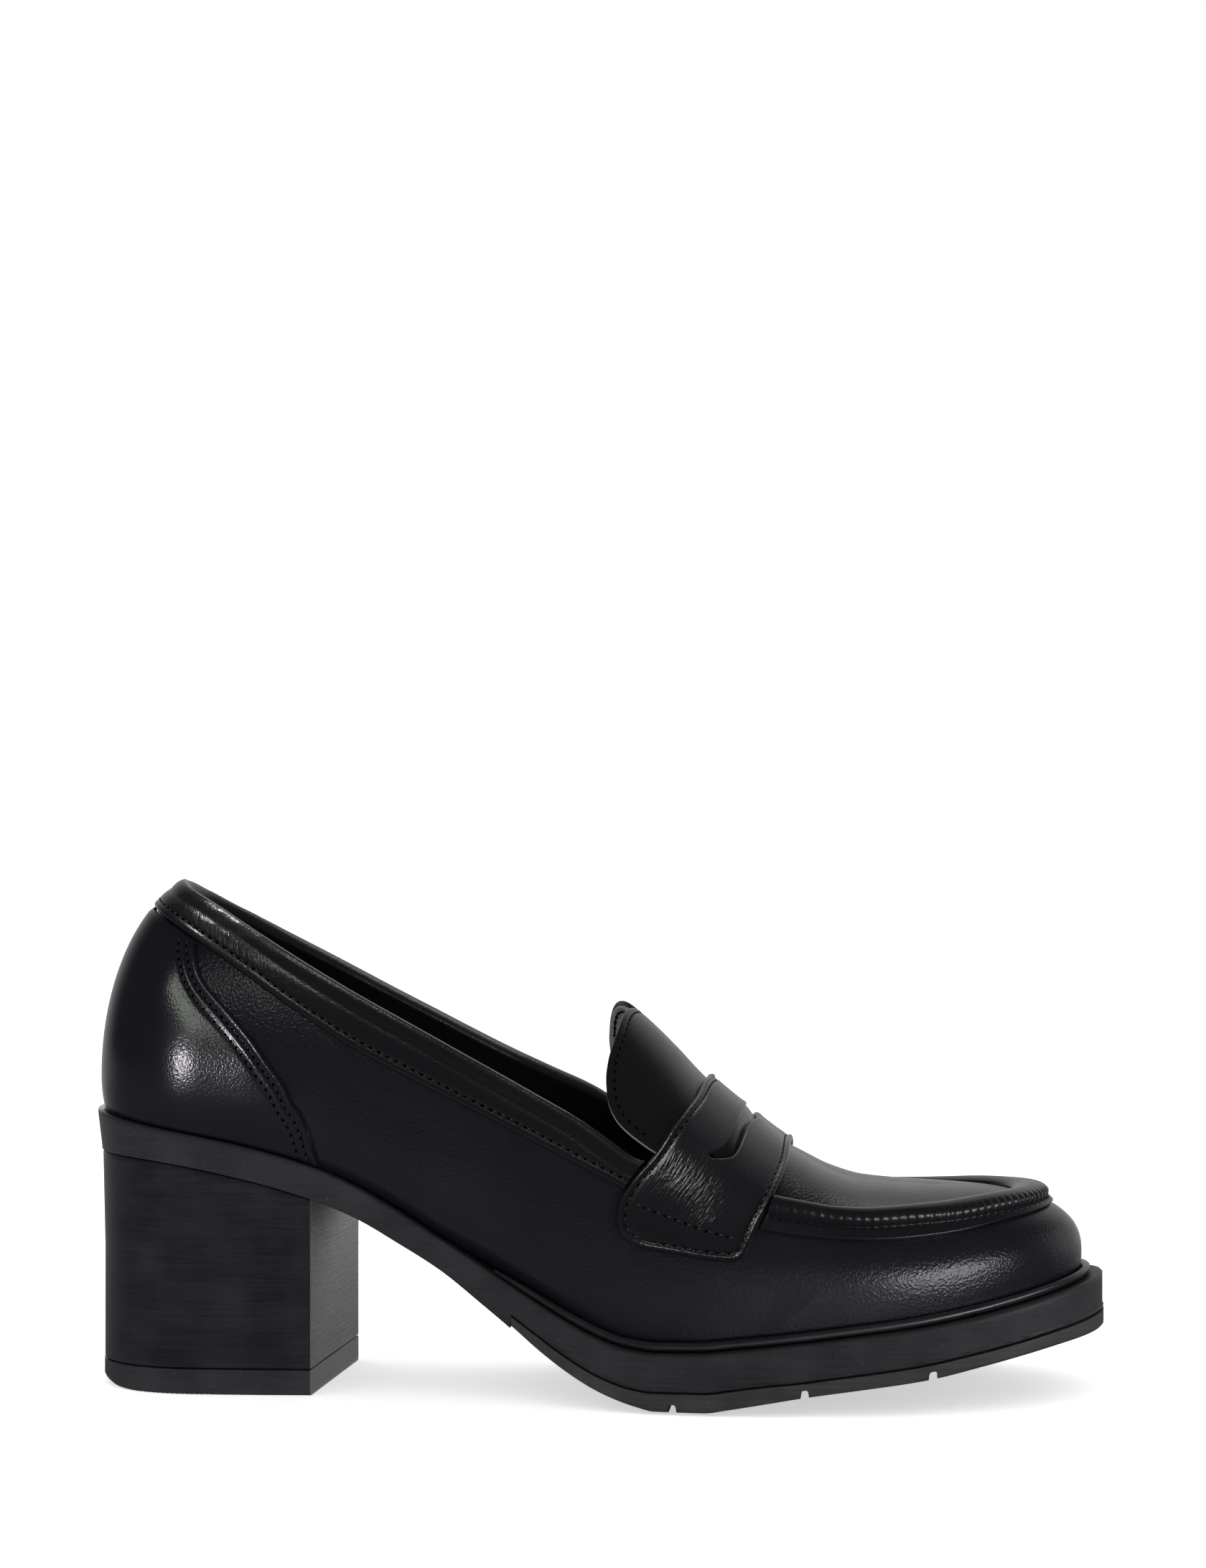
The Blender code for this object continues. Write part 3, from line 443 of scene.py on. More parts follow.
def piece(name, grids, materials, replaced, sharp=50.0):
    """One closed mesh of grids, in the frame, riding on its body and replacing the frame's nodes."""
    points, faces, kinds = [], [], []
    marks = sorted({key for g in grids for key in (g.marks or {})})
    values = {key: [] for key in marks}
    first = 0
    for g in grids:
        rows, columns = g.points.shape[:2]
        quads = grid_faces((rows, columns), first, g.wrap_rows, g.wrap_columns, g.skip).tolist()
        if g.caps:
            quads.append(list(range(first, first + columns)))
            quads.append(list(range(first + (rows - 1) * columns, first + rows * columns)))
        faces += quads
        kinds += [g.material] * len(quads)
        points.append(g.points.reshape(-1, 3) * MM + ORIGIN)
        for key in marks:
            filler = np.zeros((rows, columns))
            values[key].append(np.broadcast_to((g.marks or {}).get(key, filler), (rows, columns)).ravel())
        first += rows * columns
    mesh = bpy.data.meshes.new(name)
    mesh.from_pydata(np.concatenate(points).tolist(), [], faces)
    mesh.polygons.foreach_set("material_index", kinds)
    for key in marks:
        layer = mesh.attributes.new(key, "FLOAT", "POINT")
        layer.data.foreach_set("value", np.concatenate(values[key]).astype(np.float32))
    shape = bmesh.new()
    shape.from_mesh(mesh)
    bmesh.ops.remove_doubles(shape, verts=shape.verts, dist=MERGE * MM)
    bmesh.ops.dissolve_degenerate(shape, edges=shape.edges, dist=0.001 * MM)
    bmesh.ops.recalc_face_normals(shape, faces=shape.faces)
    shape.to_mesh(mesh)
    shape.free()
    mesh.shade_smooth()
    mesh.set_sharp_from_angle(angle=math.radians(sharp))
    for material in materials:
        mesh.materials.append(material)
    return show(name, mesh, replaced)


def plate(under, normals, thickness, distance, edge, relief, marks=None, skip=None):
    """A sheet that stands on the grid: its top, with relief, and its underside, rounded at the edge."""
    turn = np.sqrt(1 - (1 - np.clip(distance / edge, 0.0, 1.0)) ** 2)
    top = thickness * (1 + turn) / 2 + relief * turn
    bottom = thickness * (1 - turn) / 2
    return [Grid(under + normals * high[..., None], skip=skip, marks=marks) for high in (top, bottom)]


def outline(points):
    """The closed line round an open grid of points."""
    return np.concatenate([points[:, 0], points[-1, 1:], points[-2::-1, -1], points[0, -2::-1]])


def contour(points, normals, distance, at):
    """The two lines at which the distance first and last reaches a value along each row."""
    lines = []
    for flip in (1, -1):
        spots, faces = [], []
        for row, nearness in enumerate(distance):
            reached = nearness[::flip] >= at
            if not reached.any() or reached[0]:
                continue
            last_column = int(reached.argmax())
            before, after = nearness[::flip][last_column - 1], nearness[::flip][last_column]
            share = (at - before) / (after - before)
            line = points[row][::flip]
            spots.append(line[last_column - 1] * (1 - share) + line[last_column] * share)
            faces.append(normals[row][::flip][last_column])
        lines.append((np.array(spots), np.array(faces)))
    return lines


def evenly(line, normals, pitch, start=0.0):
    """Centres, directions and normals at even steps along a line on a surface."""
    lengths = run_along(line)
    at = np.arange(start + pitch / 2, lengths[-1], pitch)

    def read(values, places):
        return np.stack([np.interp(places, lengths, values[:, k]) for k in range(3)], axis=1)

    ahead, behind = read(line, at + pitch * 0.4), read(line, at - pitch * 0.4)
    return read(line, at), unit(ahead - behind), unit(read(normals, at))


# stitches


def bead(rings, sides, length, width, height, droop):
    """A small closed form along its first axis: points and faces. Its ends droop below its middle."""
    points, faces = [(-length / 2, 0.0, -droop)], []
    for r in range(rings):
        t = -1 + 2 * (r + 1) / (rings + 1)
        size = math.sqrt(1 - abs(t) ** 3)
        for s in range(sides):
            turn = 2 * math.pi * s / sides
            across = math.cos(turn) * width / 2 * size
            up = math.sin(turn) * height / 2 * size - droop * t * t
            points.append((t * length / 2, across, up))
    points.append((length / 2, 0.0, -droop))
    for s in range(sides):
        n = (s + 1) % sides
        faces.append((0, 1 + n, 1 + s))
        for r in range(rings - 1):
            a = 1 + r * sides
            faces.append((a + s, a + n, a + sides + n, a + sides + s))
        last_ring = 1 + (rings - 1) * sides
        faces.append((last_ring + s, last_ring + n, len(points) - 1))
    return np.array(points), faces


def scattered(name, form, places, material, lift, seed, turn=0.0):
    """Copies of a small form at (centre, direction, normal) places, as one piece."""
    shape, faces = form
    chance = random.Random(seed)
    points, polygons = [], []
    for centres, directions, normals in places:
        for centre, along, normal in zip(centres, directions, normals):
            angle = math.radians(chance.uniform(-4.0, 4.0) + turn)
            across = np.cross(normal, along)
            ahead = along * math.cos(angle) + across * math.sin(angle)
            aside = np.cross(normal, ahead)
            size = chance.uniform(0.93, 1.05)
            spot = centre + normal * lift
            first = len(points) * len(shape)
            points.append(spot + size * (shape @ np.stack([ahead, aside, normal])))
            polygons += [tuple(first + i for i in face) for face in faces]
    mesh = bpy.data.meshes.new(name)
    mesh.from_pydata((np.concatenate(points) * MM + ORIGIN).tolist(), [], polygons)
    mesh.shade_smooth()
    mesh.materials.append(material)
    show(name, mesh, [])


def stitch_row(name, places, seed, thread=1.55):
    """Threads along a seam, with a near-black disc of painted shade where each one dives into the leather.
    """
    form = bead(5, 6, thread, 0.5, 0.42, 0.2)
    scattered(name + "_thread", form, places, LOOKS["thread"], 0.06, seed)
    holes = []
    for centres, directions, normals in places:
        between = (centres[:-1] + centres[1:]) / 2
        holes.append((between, unit(directions[:-1] + directions[1:]), unit(normals[:-1] + normals[1:])))
    # near-black matt discs between the threads: painted shade of the stitch holes
    form = bead(3, 8, 1.05, 0.85, 0.32, 0.0)
    scattered(name + "_pinholes", form, holes, LOOKS["pinhole"], -0.04, seed)


# finishes

LEATHER_COAT = 0.6
MOTTLE = 0.1
WARP = 0.0003
STREAKS = (60.0, 60.0, 2200.0)
DUST = (0.12, 0.12, 0.12)


def nodes_of(name):
    """A new material, its node tree and its shader."""
    material = bpy.data.materials.new(name)
    material.use_nodes = True
    tree = material.node_tree
    return material, tree, tree.nodes["Principled BSDF"]


def add(tree, kind, inputs=None, **settings):
    """A node with its settings and the values or sockets of its inputs."""
    node = tree.nodes.new("ShaderNode" + kind)
    for key, value in settings.items():
        setattr(node, key, value)
    for key, value in (inputs or {}).items():
        if isinstance(value, bpy.types.NodeSocket):
            tree.links.new(value, node.inputs[key])
        else:
            node.inputs[key].default_value = value
    return node


def ramp(tree, value, low, high, to_low, to_high):
    """The value stretched from one range to another."""
    inputs = {"Value": value, "From Min": low, "From Max": high, "To Min": to_low, "To Max": to_high}
    return add(tree, "MapRange", inputs).outputs["Result"]


def combined(tree, kind, first, second):
    """The two values added or multiplied."""
    return add(tree, "Math", {0: first, 1: second}, operation=kind).outputs[0]


def blend(tree, factor, first, second):
    """A colour between two colours or colour sockets."""
    node = add(tree, "Mix", data_type="RGBA")
    tree.links.new(factor, node.inputs["Factor"])
    ends = [socket for socket in node.inputs if socket.type == "RGBA"]
    for socket, value in zip(ends, (first, second)):
        if isinstance(value, bpy.types.NodeSocket):
            tree.links.new(value, socket)
        else:
            socket.default_value = (*value, 1.0)
    return next(socket for socket in node.outputs if socket.type == "RGBA")


def leather(name, colour, roughness, sheen, grain, grain_mm=0.75, coat_roughness=0.2, wrinkles=False):
    """Glossy grained leather: pebbles, pores, faint mottling, and wrinkles where marked."""
    material, tree, shader = nodes_of(name)
    place = add(tree, "TexCoord").outputs["Object"]
    warp = add(tree, "TexNoise", {"Vector": place, "Scale": 900.0, "Detail": 2.0})
    bent_place = add(
        tree,
        "VectorMath",
        {0: warp.outputs["Color"], 1: (WARP, WARP, WARP), 2: place},
        operation="MULTIPLY_ADD",
    ).outputs[0]
    pebbles = add(
        tree,
        "TexVoronoi",
        {"Vector": bent_place, "Scale": 1000.0 / grain_mm, "Smoothness": 0.6},
        feature="SMOOTH_F1",
    ).outputs["Distance"]
    pores = add(tree, "TexNoise", {"Vector": place, "Scale": 2600.0, "Detail": 3.0})
    height = combined(tree, "ADD", pebbles, ramp(tree, pores.outputs["Fac"], 0.2, 0.8, 0.0, 0.5))
    normal = add(tree, "Bump", {"Height": height, "Distance": grain * MM, "Strength": 1.0})
    if wrinkles:
        mark = add(tree, "Attribute", attribute_name="wrinkle").outputs["Fac"]
        along = add(tree, "Attribute", attribute_name="along").outputs["Fac"]
        across = add(tree, "Attribute", attribute_name="across").outputs["Fac"]
        flat = add(tree, "CombineXYZ", {"X": along, "Y": combined(tree, "MULTIPLY", across, 0.22)})
        folds = add(
            tree,
            "TexNoise",
            {"Vector": flat.outputs[0], "Scale": 1.15, "Detail": 2.0, "Roughness": 0.5, "Distortion": 0.35},
        )
        folded = combined(tree, "MULTIPLY", folds.outputs["Fac"], mark)
        normal = add(
            tree,
            "Bump",
            {"Height": folded, "Distance": 0.4 * MM, "Strength": 1.0, "Normal": normal.outputs[0]},
        )
    tree.links.new(normal.outputs[0], shader.inputs["Normal"])
    tree.links.new(normal.outputs[0], shader.inputs["Coat Normal"])
    patches = add(tree, "TexNoise", {"Vector": place, "Scale": 70.0, "Detail": 4.0})
    patchy = patches.outputs["Fac"]
    tree.links.new(
        ramp(tree, patchy, 0.3, 0.7, roughness - 0.04, roughness + 0.06), shader.inputs["Roughness"]
    )
    dark, light = [c * (1 - MOTTLE) for c in colour], [c * (1 + MOTTLE) for c in colour]
    tree.links.new(blend(tree, patchy, dark, light), shader.inputs["Base Color"])
    shader.inputs["Coat Weight"].default_value = LEATHER_COAT
    shader.inputs["Coat Roughness"].default_value = coat_roughness
    shader.inputs["Specular IOR Level"].default_value = sheen
    return material


def rubber(name, colour, roughness, streaks=0.0, contrast=0.25, specks=0.4, coat=0.0):
    """Satin rubber or plastic with fine level streaks and a few pale specks of dust."""
    material, tree, shader = nodes_of(name)
    place = add(tree, "TexCoord").outputs["Object"]
    lines_at = add(tree, "Mapping", {"Vector": place, "Scale": STREAKS}).outputs[0]
    streaky_noise = {"Vector": lines_at, "Scale": 1.0, "Detail": 5.0, "Roughness": 0.7}
    lines = add(tree, "TexNoise", streaky_noise).outputs["Fac"]
    fine = add(tree, "TexNoise", {"Vector": place, "Scale": 1500.0, "Detail": 3.0})
    streaked = combined(tree, "MULTIPLY", lines, streaks)
    height = combined(tree, "ADD", streaked, fine.outputs["Fac"])
    normal = add(tree, "Bump", {"Height": height, "Distance": 0.03 * MM, "Strength": 1.0})
    tree.links.new(normal.outputs[0], shader.inputs["Normal"])
    cloud = add(tree, "TexNoise", {"Vector": place, "Scale": 90.0, "Detail": 5.0}).outputs["Fac"]
    both = combined(tree, "MULTIPLY", combined(tree, "ADD", lines, cloud), 0.5)
    tree.links.new(ramp(tree, both, 0.3, 0.7, roughness - 0.08, roughness + 0.1), shader.inputs["Roughness"])
    dust = add(tree, "TexVoronoi", {"Vector": place, "Scale": 420.0, "Randomness": 1.0})
    dots = ramp(tree, dust.outputs["Distance"], 0.05, 0.08, specks, 0.0)
    streaky = ramp(tree, both, 0.38, 0.62, 0.0, 1.0)
    shaded = blend(tree, streaky, [c * (1 - contrast) for c in colour], [c * (1 + contrast) for c in colour])
    tree.links.new(blend(tree, dots, shaded, DUST), shader.inputs["Base Color"])
    shader.inputs["Coat Weight"].default_value = coat
    shader.inputs["Coat Roughness"].default_value = 0.25
    return material


def plain(name, colour, roughness, scale, depth_mm, specular=0.5):
    """A matt finish with fine noise, for thread, lining, and the painted shade of stitch holes."""
    material, tree, shader = nodes_of(name)
    place = add(tree, "TexCoord").outputs["Object"]
    rough = add(tree, "TexNoise", {"Vector": place, "Scale": scale, "Detail": 3.0}).outputs["Fac"]
    normal = add(tree, "Bump", {"Height": rough, "Distance": depth_mm * MM, "Strength": 1.0})
    tree.links.new(normal.outputs[0], shader.inputs["Normal"])
    shaded = blend(tree, rough, [c * 0.7 for c in colour], [c * 1.3 for c in colour])
    tree.links.new(shaded, shader.inputs["Base Color"])
    shader.inputs["Roughness"].default_value = roughness
    shader.inputs["Specular IOR Level"].default_value = specular
    return material


UPPER_COLOUR = (0.0043, 0.0043, 0.006)
STRAP_COLOUR = (0.005, 0.005, 0.0066)
LOOKS = {
    "upper": leather("upper_leather", UPPER_COLOUR, 0.3, 0.1, 0.065, 0.7, 0.17),
    "counter": leather("counter_leather", (0.005, 0.005, 0.0075), 0.3, 0.05, 0.02, 0.6, 0.15),
    "apron": leather("apron_leather", UPPER_COLOUR, 0.3, 0.15, 0.03, 0.6, 0.27),
    "collar": leather("collar_leather", (0.0046, 0.0046, 0.006), 0.3, 0.2, 0.035, wrinkles=True),
    "strap": leather("strap_leather", STRAP_COLOUR, 0.34, 0.12, 0.035, wrinkles=True),
    "tab": leather("tab_leather", STRAP_COLOUR, 0.42, 0.2, 0.02),
    "suede": plain("tab_underside", (0.16, 0.16, 0.165), 0.85, 1100.0, 0.3, 0.2),
    "lining": plain("lining_leather", (0.006, 0.006, 0.007), 0.6, 900.0, 0.03, 0.3),
    "thread": plain("waxed_thread", (0.006, 0.006, 0.007), 0.5, 4000.0, 0.02),
    # pinhole: near-black and without gloss, painted shade for the stitch holes
    "pinhole": plain("pinhole_shade", (0.0008, 0.0008, 0.001), 1.0, 2000.0, 0.01, 0.0),
    "outsole": rubber("outsole_rubber", (0.0192, 0.019, 0.0235), 0.45, streaks=0.9),
    "tread": rubber("tread_rubber", (0.032, 0.0318, 0.034), 0.5, streaks=0.6),
    "welt": rubber("welt_rubber", (0.007, 0.007, 0.008), 0.3, specks=0.0, coat=0.3),
    "stack": rubber("stacked_heel", (0.0095, 0.0092, 0.0145), 0.4, streaks=2.6, contrast=0.5, specks=0.15),
    "top_piece": rubber("top_piece_rubber", (0.021, 0.0205, 0.026), 0.5, streaks=0.8),
}


# the upper


def ring(start, end, count):
    """Ribs from start to end, closer together near the heel and the toe."""
    every = LENGTH * (1 - np.cos(np.pi * np.arange(count + 1) / count)) / 2
    inside = every[(every > start + 0.3) & (every < end - 0.3)]
    return np.concatenate([[start], inside, [end]])


def there_and_back(there, back):
    """Ribs and sides along the outer side and then back along the inner."""
    sides = [np.full(len(there), -1.0), np.full(len(back), 1.0)]
    return np.concatenate([there, back]), np.concatenate(sides)


CREASES = table(
    "x angle run turn width depth",
    # a soft trough (or with a negative depth a ridge) centred on a rib and angle, run long, turned
    # from the shoe's length by turn degrees
    (74.0, 8.0, 34.0, -28.0, 7.0, 0.12),
    (92.0, 16.0, 40.0, -30.0, 8.0, -0.10),
    (112.0, 2.0, 30.0, -34.0, 6.0, 0.10),
    (126.0, 12.0, 26.0, -25.0, 5.0, -0.09),
    (150.0, -8.0, 34.0, 4.0, 7.0, 0.10),
    (176.0, 9.0, 36.0, 8.0, 9.0, -0.12),
    (205.0, 12.0, 30.0, 10.0, 8.0, 0.09),
    (100.0, 168.0, 40.0, -28.0, 8.0, 0.10),
    (150.0, 176.0, 34.0, 2.0, 8.0, 0.10),
    (185.0, 165.0, 36.0, 8.0, 9.0, -0.10),
)


def creased(points):
    """How far the creases move each point of a grid along its normal."""
    depth = np.zeros(points.shape[:-1])
    for crease in CREASES:
        away = points - last(crease.x, crease.angle)
        same_side = bump(away[..., 1], 0.0, 25.0)
        turn = math.radians(crease.turn)
        along = away[..., 0] * math.cos(turn) + away[..., 2] * math.sin(turn)
        across = away[..., 2] * math.cos(turn) - away[..., 0] * math.sin(turn)
        trough = crease.depth * bump(along, 0.0, crease.run / 2) * bump(across, 0.0, crease.width / 2)
        depth -= trough * same_side
    return depth


def build_upper():
    """The wall with its creases, its lining, and strips across its top and its foot."""
    xs = ring(0.0, LENGTH, 190)
    x, side = there_and_back(xs, xs[-2:0:-1])
    top = np.where(x >= THROAT_X, 90.0, topline_angle(x, side))
    below = np.linspace(-90.0, 0.0, 14)[:-1]
    share = np.linspace(0.0, 1.0, 60)
    angles = np.concatenate([np.tile(below, (len(x), 1)), top[:, None] * share], axis=1)
    ribs, sides = x[:, None], side[:, None]
    outer = last(ribs, on_side(angles, sides))
    normals = grid_normals(outer, (LENGTH / 2, 0.0, 40.0), wrap=True)
    fade = np.clip((top[:, None] - angles) / 8.0, 0.0, 1.0) * np.clip((angles + 90.0) / 40.0, 0.0, 1.0)
    outer = outer + normals * (creased(outer) * fade)[..., None]
    inner = last(ribs, on_side(angles, sides), -WALL)
    top_strip = np.stack([outer[:, -1], inner[:, -1]], axis=1)
    foot_strip = np.stack([outer[:, 0], inner[:, 0]], axis=1)
    closed = x >= THROAT_X
    no_strip = (closed & np.roll(closed, -1))[:, None]
    piece(
        "upper_leather_shell",
        [
            Grid(outer, wrap_rows=True),
            Grid(inner, wrap_rows=True, material=1),
            Grid(top_strip, wrap_rows=True, skip=no_strip, material=1),
            Grid(foot_strip, wrap_rows=True, material=1),
        ],
        [LOOKS["upper"], LOOKS["lining"]],
        ["upper"],
    )


# the collar


def behind_the_strap(side, angle_of):
    """The rib at which a curve with the given angles meets the strap's rear edge."""
    x = STRAP_EDGE[0].rear
    for _ in range(12):
        x = smooth(STRAP_EDGE, "rear", angle_of(np.array(x), side)) - 2 * GAP
    return float(x)


def build_collar():
    """The folded band, its bead along the top, and its row of stitches."""
    half = {}
    for side in (-1, 1):
        end_top, end_foot = behind_the_strap(side, topline_angle), behind_the_strap(side, collar_angle)
        share = ring(0.0, end_top, 210) / end_top
        up = np.concatenate([np.linspace(0.0, 0.08, 6)[:-1], np.linspace(0.08, 1.0, 26)])
        foot_x, top_x = end_foot * share[:, None], end_top * share[:, None]
        foot, top = collar_angle(foot_x, side), topline_angle(top_x, side)
        top = along_the_rib(top_x, top, side, GAP)
        xs, angles = foot_x + (top_x - foot_x) * up, foot + (top - foot) * up
        inner_low = angle_at_height(
            top_x, side, lambda px: smooth(TOPLINE, "z", px) - COLLAR_LINING_DEPTH, -WALL
        )
        down = np.linspace(1.0, 0.0, 10)
        half[side] = (xs, on_side(angles, side), top_x, on_side(inner_low + (top - inner_low) * down, side))

    def joined(k):
        return np.concatenate([half[-1][k][::-1], half[1][k][1:]])

    xs, angles, top_x, lining = (joined(k) for k in range(4))
    face = last(xs, angles, GAP)
    normals = grid_normals(face, (90.0, 0.0, 70.0))
    from_foot = distance_to(face, face[:, 0])
    from_top = distance_to(face, face[:, -1])
    turn = np.sqrt(1 - (1 - np.clip(from_foot / 0.7, 0.0, 1.0)) ** 2)
    relief = 0.22 * bump(from_top, 0.9, 1.3) - 0.16 * bump(from_top, 3.4, 0.8)
    relief -= 0.22 * bump(from_foot, COLLAR_SEAM, 0.45)
    relief += 0.05 * np.sin(from_top * 2.1 + xs * 0.9) * bump(xs, 30.0, 16.0) * bump(from_top, 2.0, 3.0)
    outer = face + normals * (COLLAR_THICKNESS * turn + relief * turn)[..., None]
    deep = -WALL - GAP
    inside = last(top_x, lining, deep - COLLAR_THICKNESS)
    first, final = outer[:, -1], inside[:, 0]
    climb = unit(face[:, -1] - face[:, -3])
    crown = []
    for turned in np.linspace(0.0, math.pi, 14)[1:-1]:
        share = (1 - math.cos(turned)) / 2
        crown.append(first + (final - first) * share + climb * COLLAR_THICKNESS * 1.05 * math.sin(turned))
    under = [last(top_x, lining[:, -1:], deep)[:, 0], last(top_x, lining[:, :1], deep)[:, 0], face[:, -1]]
    rings = [outer, np.stack(crown, axis=1), inside, np.stack(under, axis=1), face[:, -4::-4]]
    profile = np.concatenate(rings, axis=1)
    crushed = bump(xs, 37.0, 6.0) * bump(from_foot, 3.4, 1.8)
    crushed = crushed + 0.4 * bump(xs, 30.0, 18.0) * bump(from_foot, 5.0, 3.0)
    rest = np.zeros((len(profile), profile.shape[1] - xs.shape[1]))
    marks = {
        "wrinkle": np.concatenate([np.clip(crushed, 0.0, 1.0), rest], axis=1),
        "along": np.concatenate([xs + 0.4 * from_foot, rest], axis=1),
        "across": np.concatenate([from_foot, rest], axis=1),
    }
    piece(
        "collar_band",
        [Grid(profile, wrap_columns=True, caps=True, marks=marks)],
        [LOOKS["collar"]],
        ["collar"],
        sharp=60.0,
    )
    row = np.abs(from_foot - COLLAR_SEAM).argmin(axis=1)
    line = outer[np.arange(len(outer)), row] + normals[:, 2] * 0.02
    stitch_row("collar_stitches", [evenly(line, normals[:, 4], COLLAR_PITCH)], seed=3)


# the counter


def build_counter():
    """The outside counter, with a folded front edge and two rows of stitches behind it."""
    close = np.arange(1, 12) * 0.0022
    share = np.unique(np.concatenate([np.linspace(-1.0, 1.0, 241), close - 1.0, 1.0 - close]))
    side = np.where(share <= 0.0, -1.0, 1.0)[:, None]
    rise = np.linspace(0.0, 1.0, 70)[None, :]
    limit = COUNTER_EDGE[-1].front

    def below_collar(x):
        """Each rib's angle just below the collar."""
        x, sides = np.broadcast_arrays(x, side)
        return along_the_rib(x, collar_angle(x, sides), sides, -2 * GAP)

    low = COUNTER_FOOT_ANGLE
    edge_angle = low + (below_collar(np.full(side.shape, limit)) - low) * rise
    front = smooth(COUNTER_EDGE, "front", edge_angle)
    x = front * (1 - np.cos(np.pi / 2 * np.abs(share[:, None])))
    angle = low + (below_collar(x) - low) * rise
    at_front = low + (below_collar(front) - low) * rise
    angle = angle + (edge_angle - at_front) * share[:, None] ** 2
    under = last(x, on_side(angle, side), COUNTER_GAP)
    normals = grid_normals(under, (45.0, 0.0, 90.0))
    from_front = np.minimum(distance_to(under, under[0]), distance_to(under, under[-1]))
    from_top = distance_to(under, under[:, -1])
    distance = np.minimum(from_front, np.minimum(from_top * 1.5, distance_to(under, under[:, 0])))
    relief = 0.2 * bump(from_front, 0.8, 0.7)
    first, second = COUNTER_SEAMS
    relief -= 0.2 * bump(from_front, first, 0.4) + 0.16 * bump(from_front, second, 0.4)
    relief += 0.05 * bump(from_front, 3.2, 0.6)
    top, bottom = plate(under, normals, COUNTER_THICKNESS, distance, 0.55, relief)
    piece("heel_counter_skin", [top, bottom], [LOOKS["counter"]], ["heel_counter"])
    places = []
    half = len(share) // 2
    for rows in (slice(0, half), slice(len(share) - 1, half, -1)):
        for inward in COUNTER_SEAMS:
            columns = np.swapaxes(top.points[rows], 0, 1), np.swapaxes(normals[rows], 0, 1)
            line, faces = contour(*columns, from_front[rows].T, inward)[0]
            places.append(evenly(line[3:-1], faces[3:-1], COUNTER_PITCH))
    stitch_row("counter_stitches", places, thread=1.4, seed=5)


# the strap


def over_the_foot(rows, fine_until, fine_step, step):
    """Angles from side to side, closer together up to fine_until on both sides."""
    low = np.arange(rows[0].angle, fine_until, fine_step)
    middle = np.linspace(fine_until, 90.0, int((90.0 - fine_until) / step) + 1)
    half = np.concatenate([low, middle])
    return np.concatenate([half, 180.0 - half[-2::-1]])


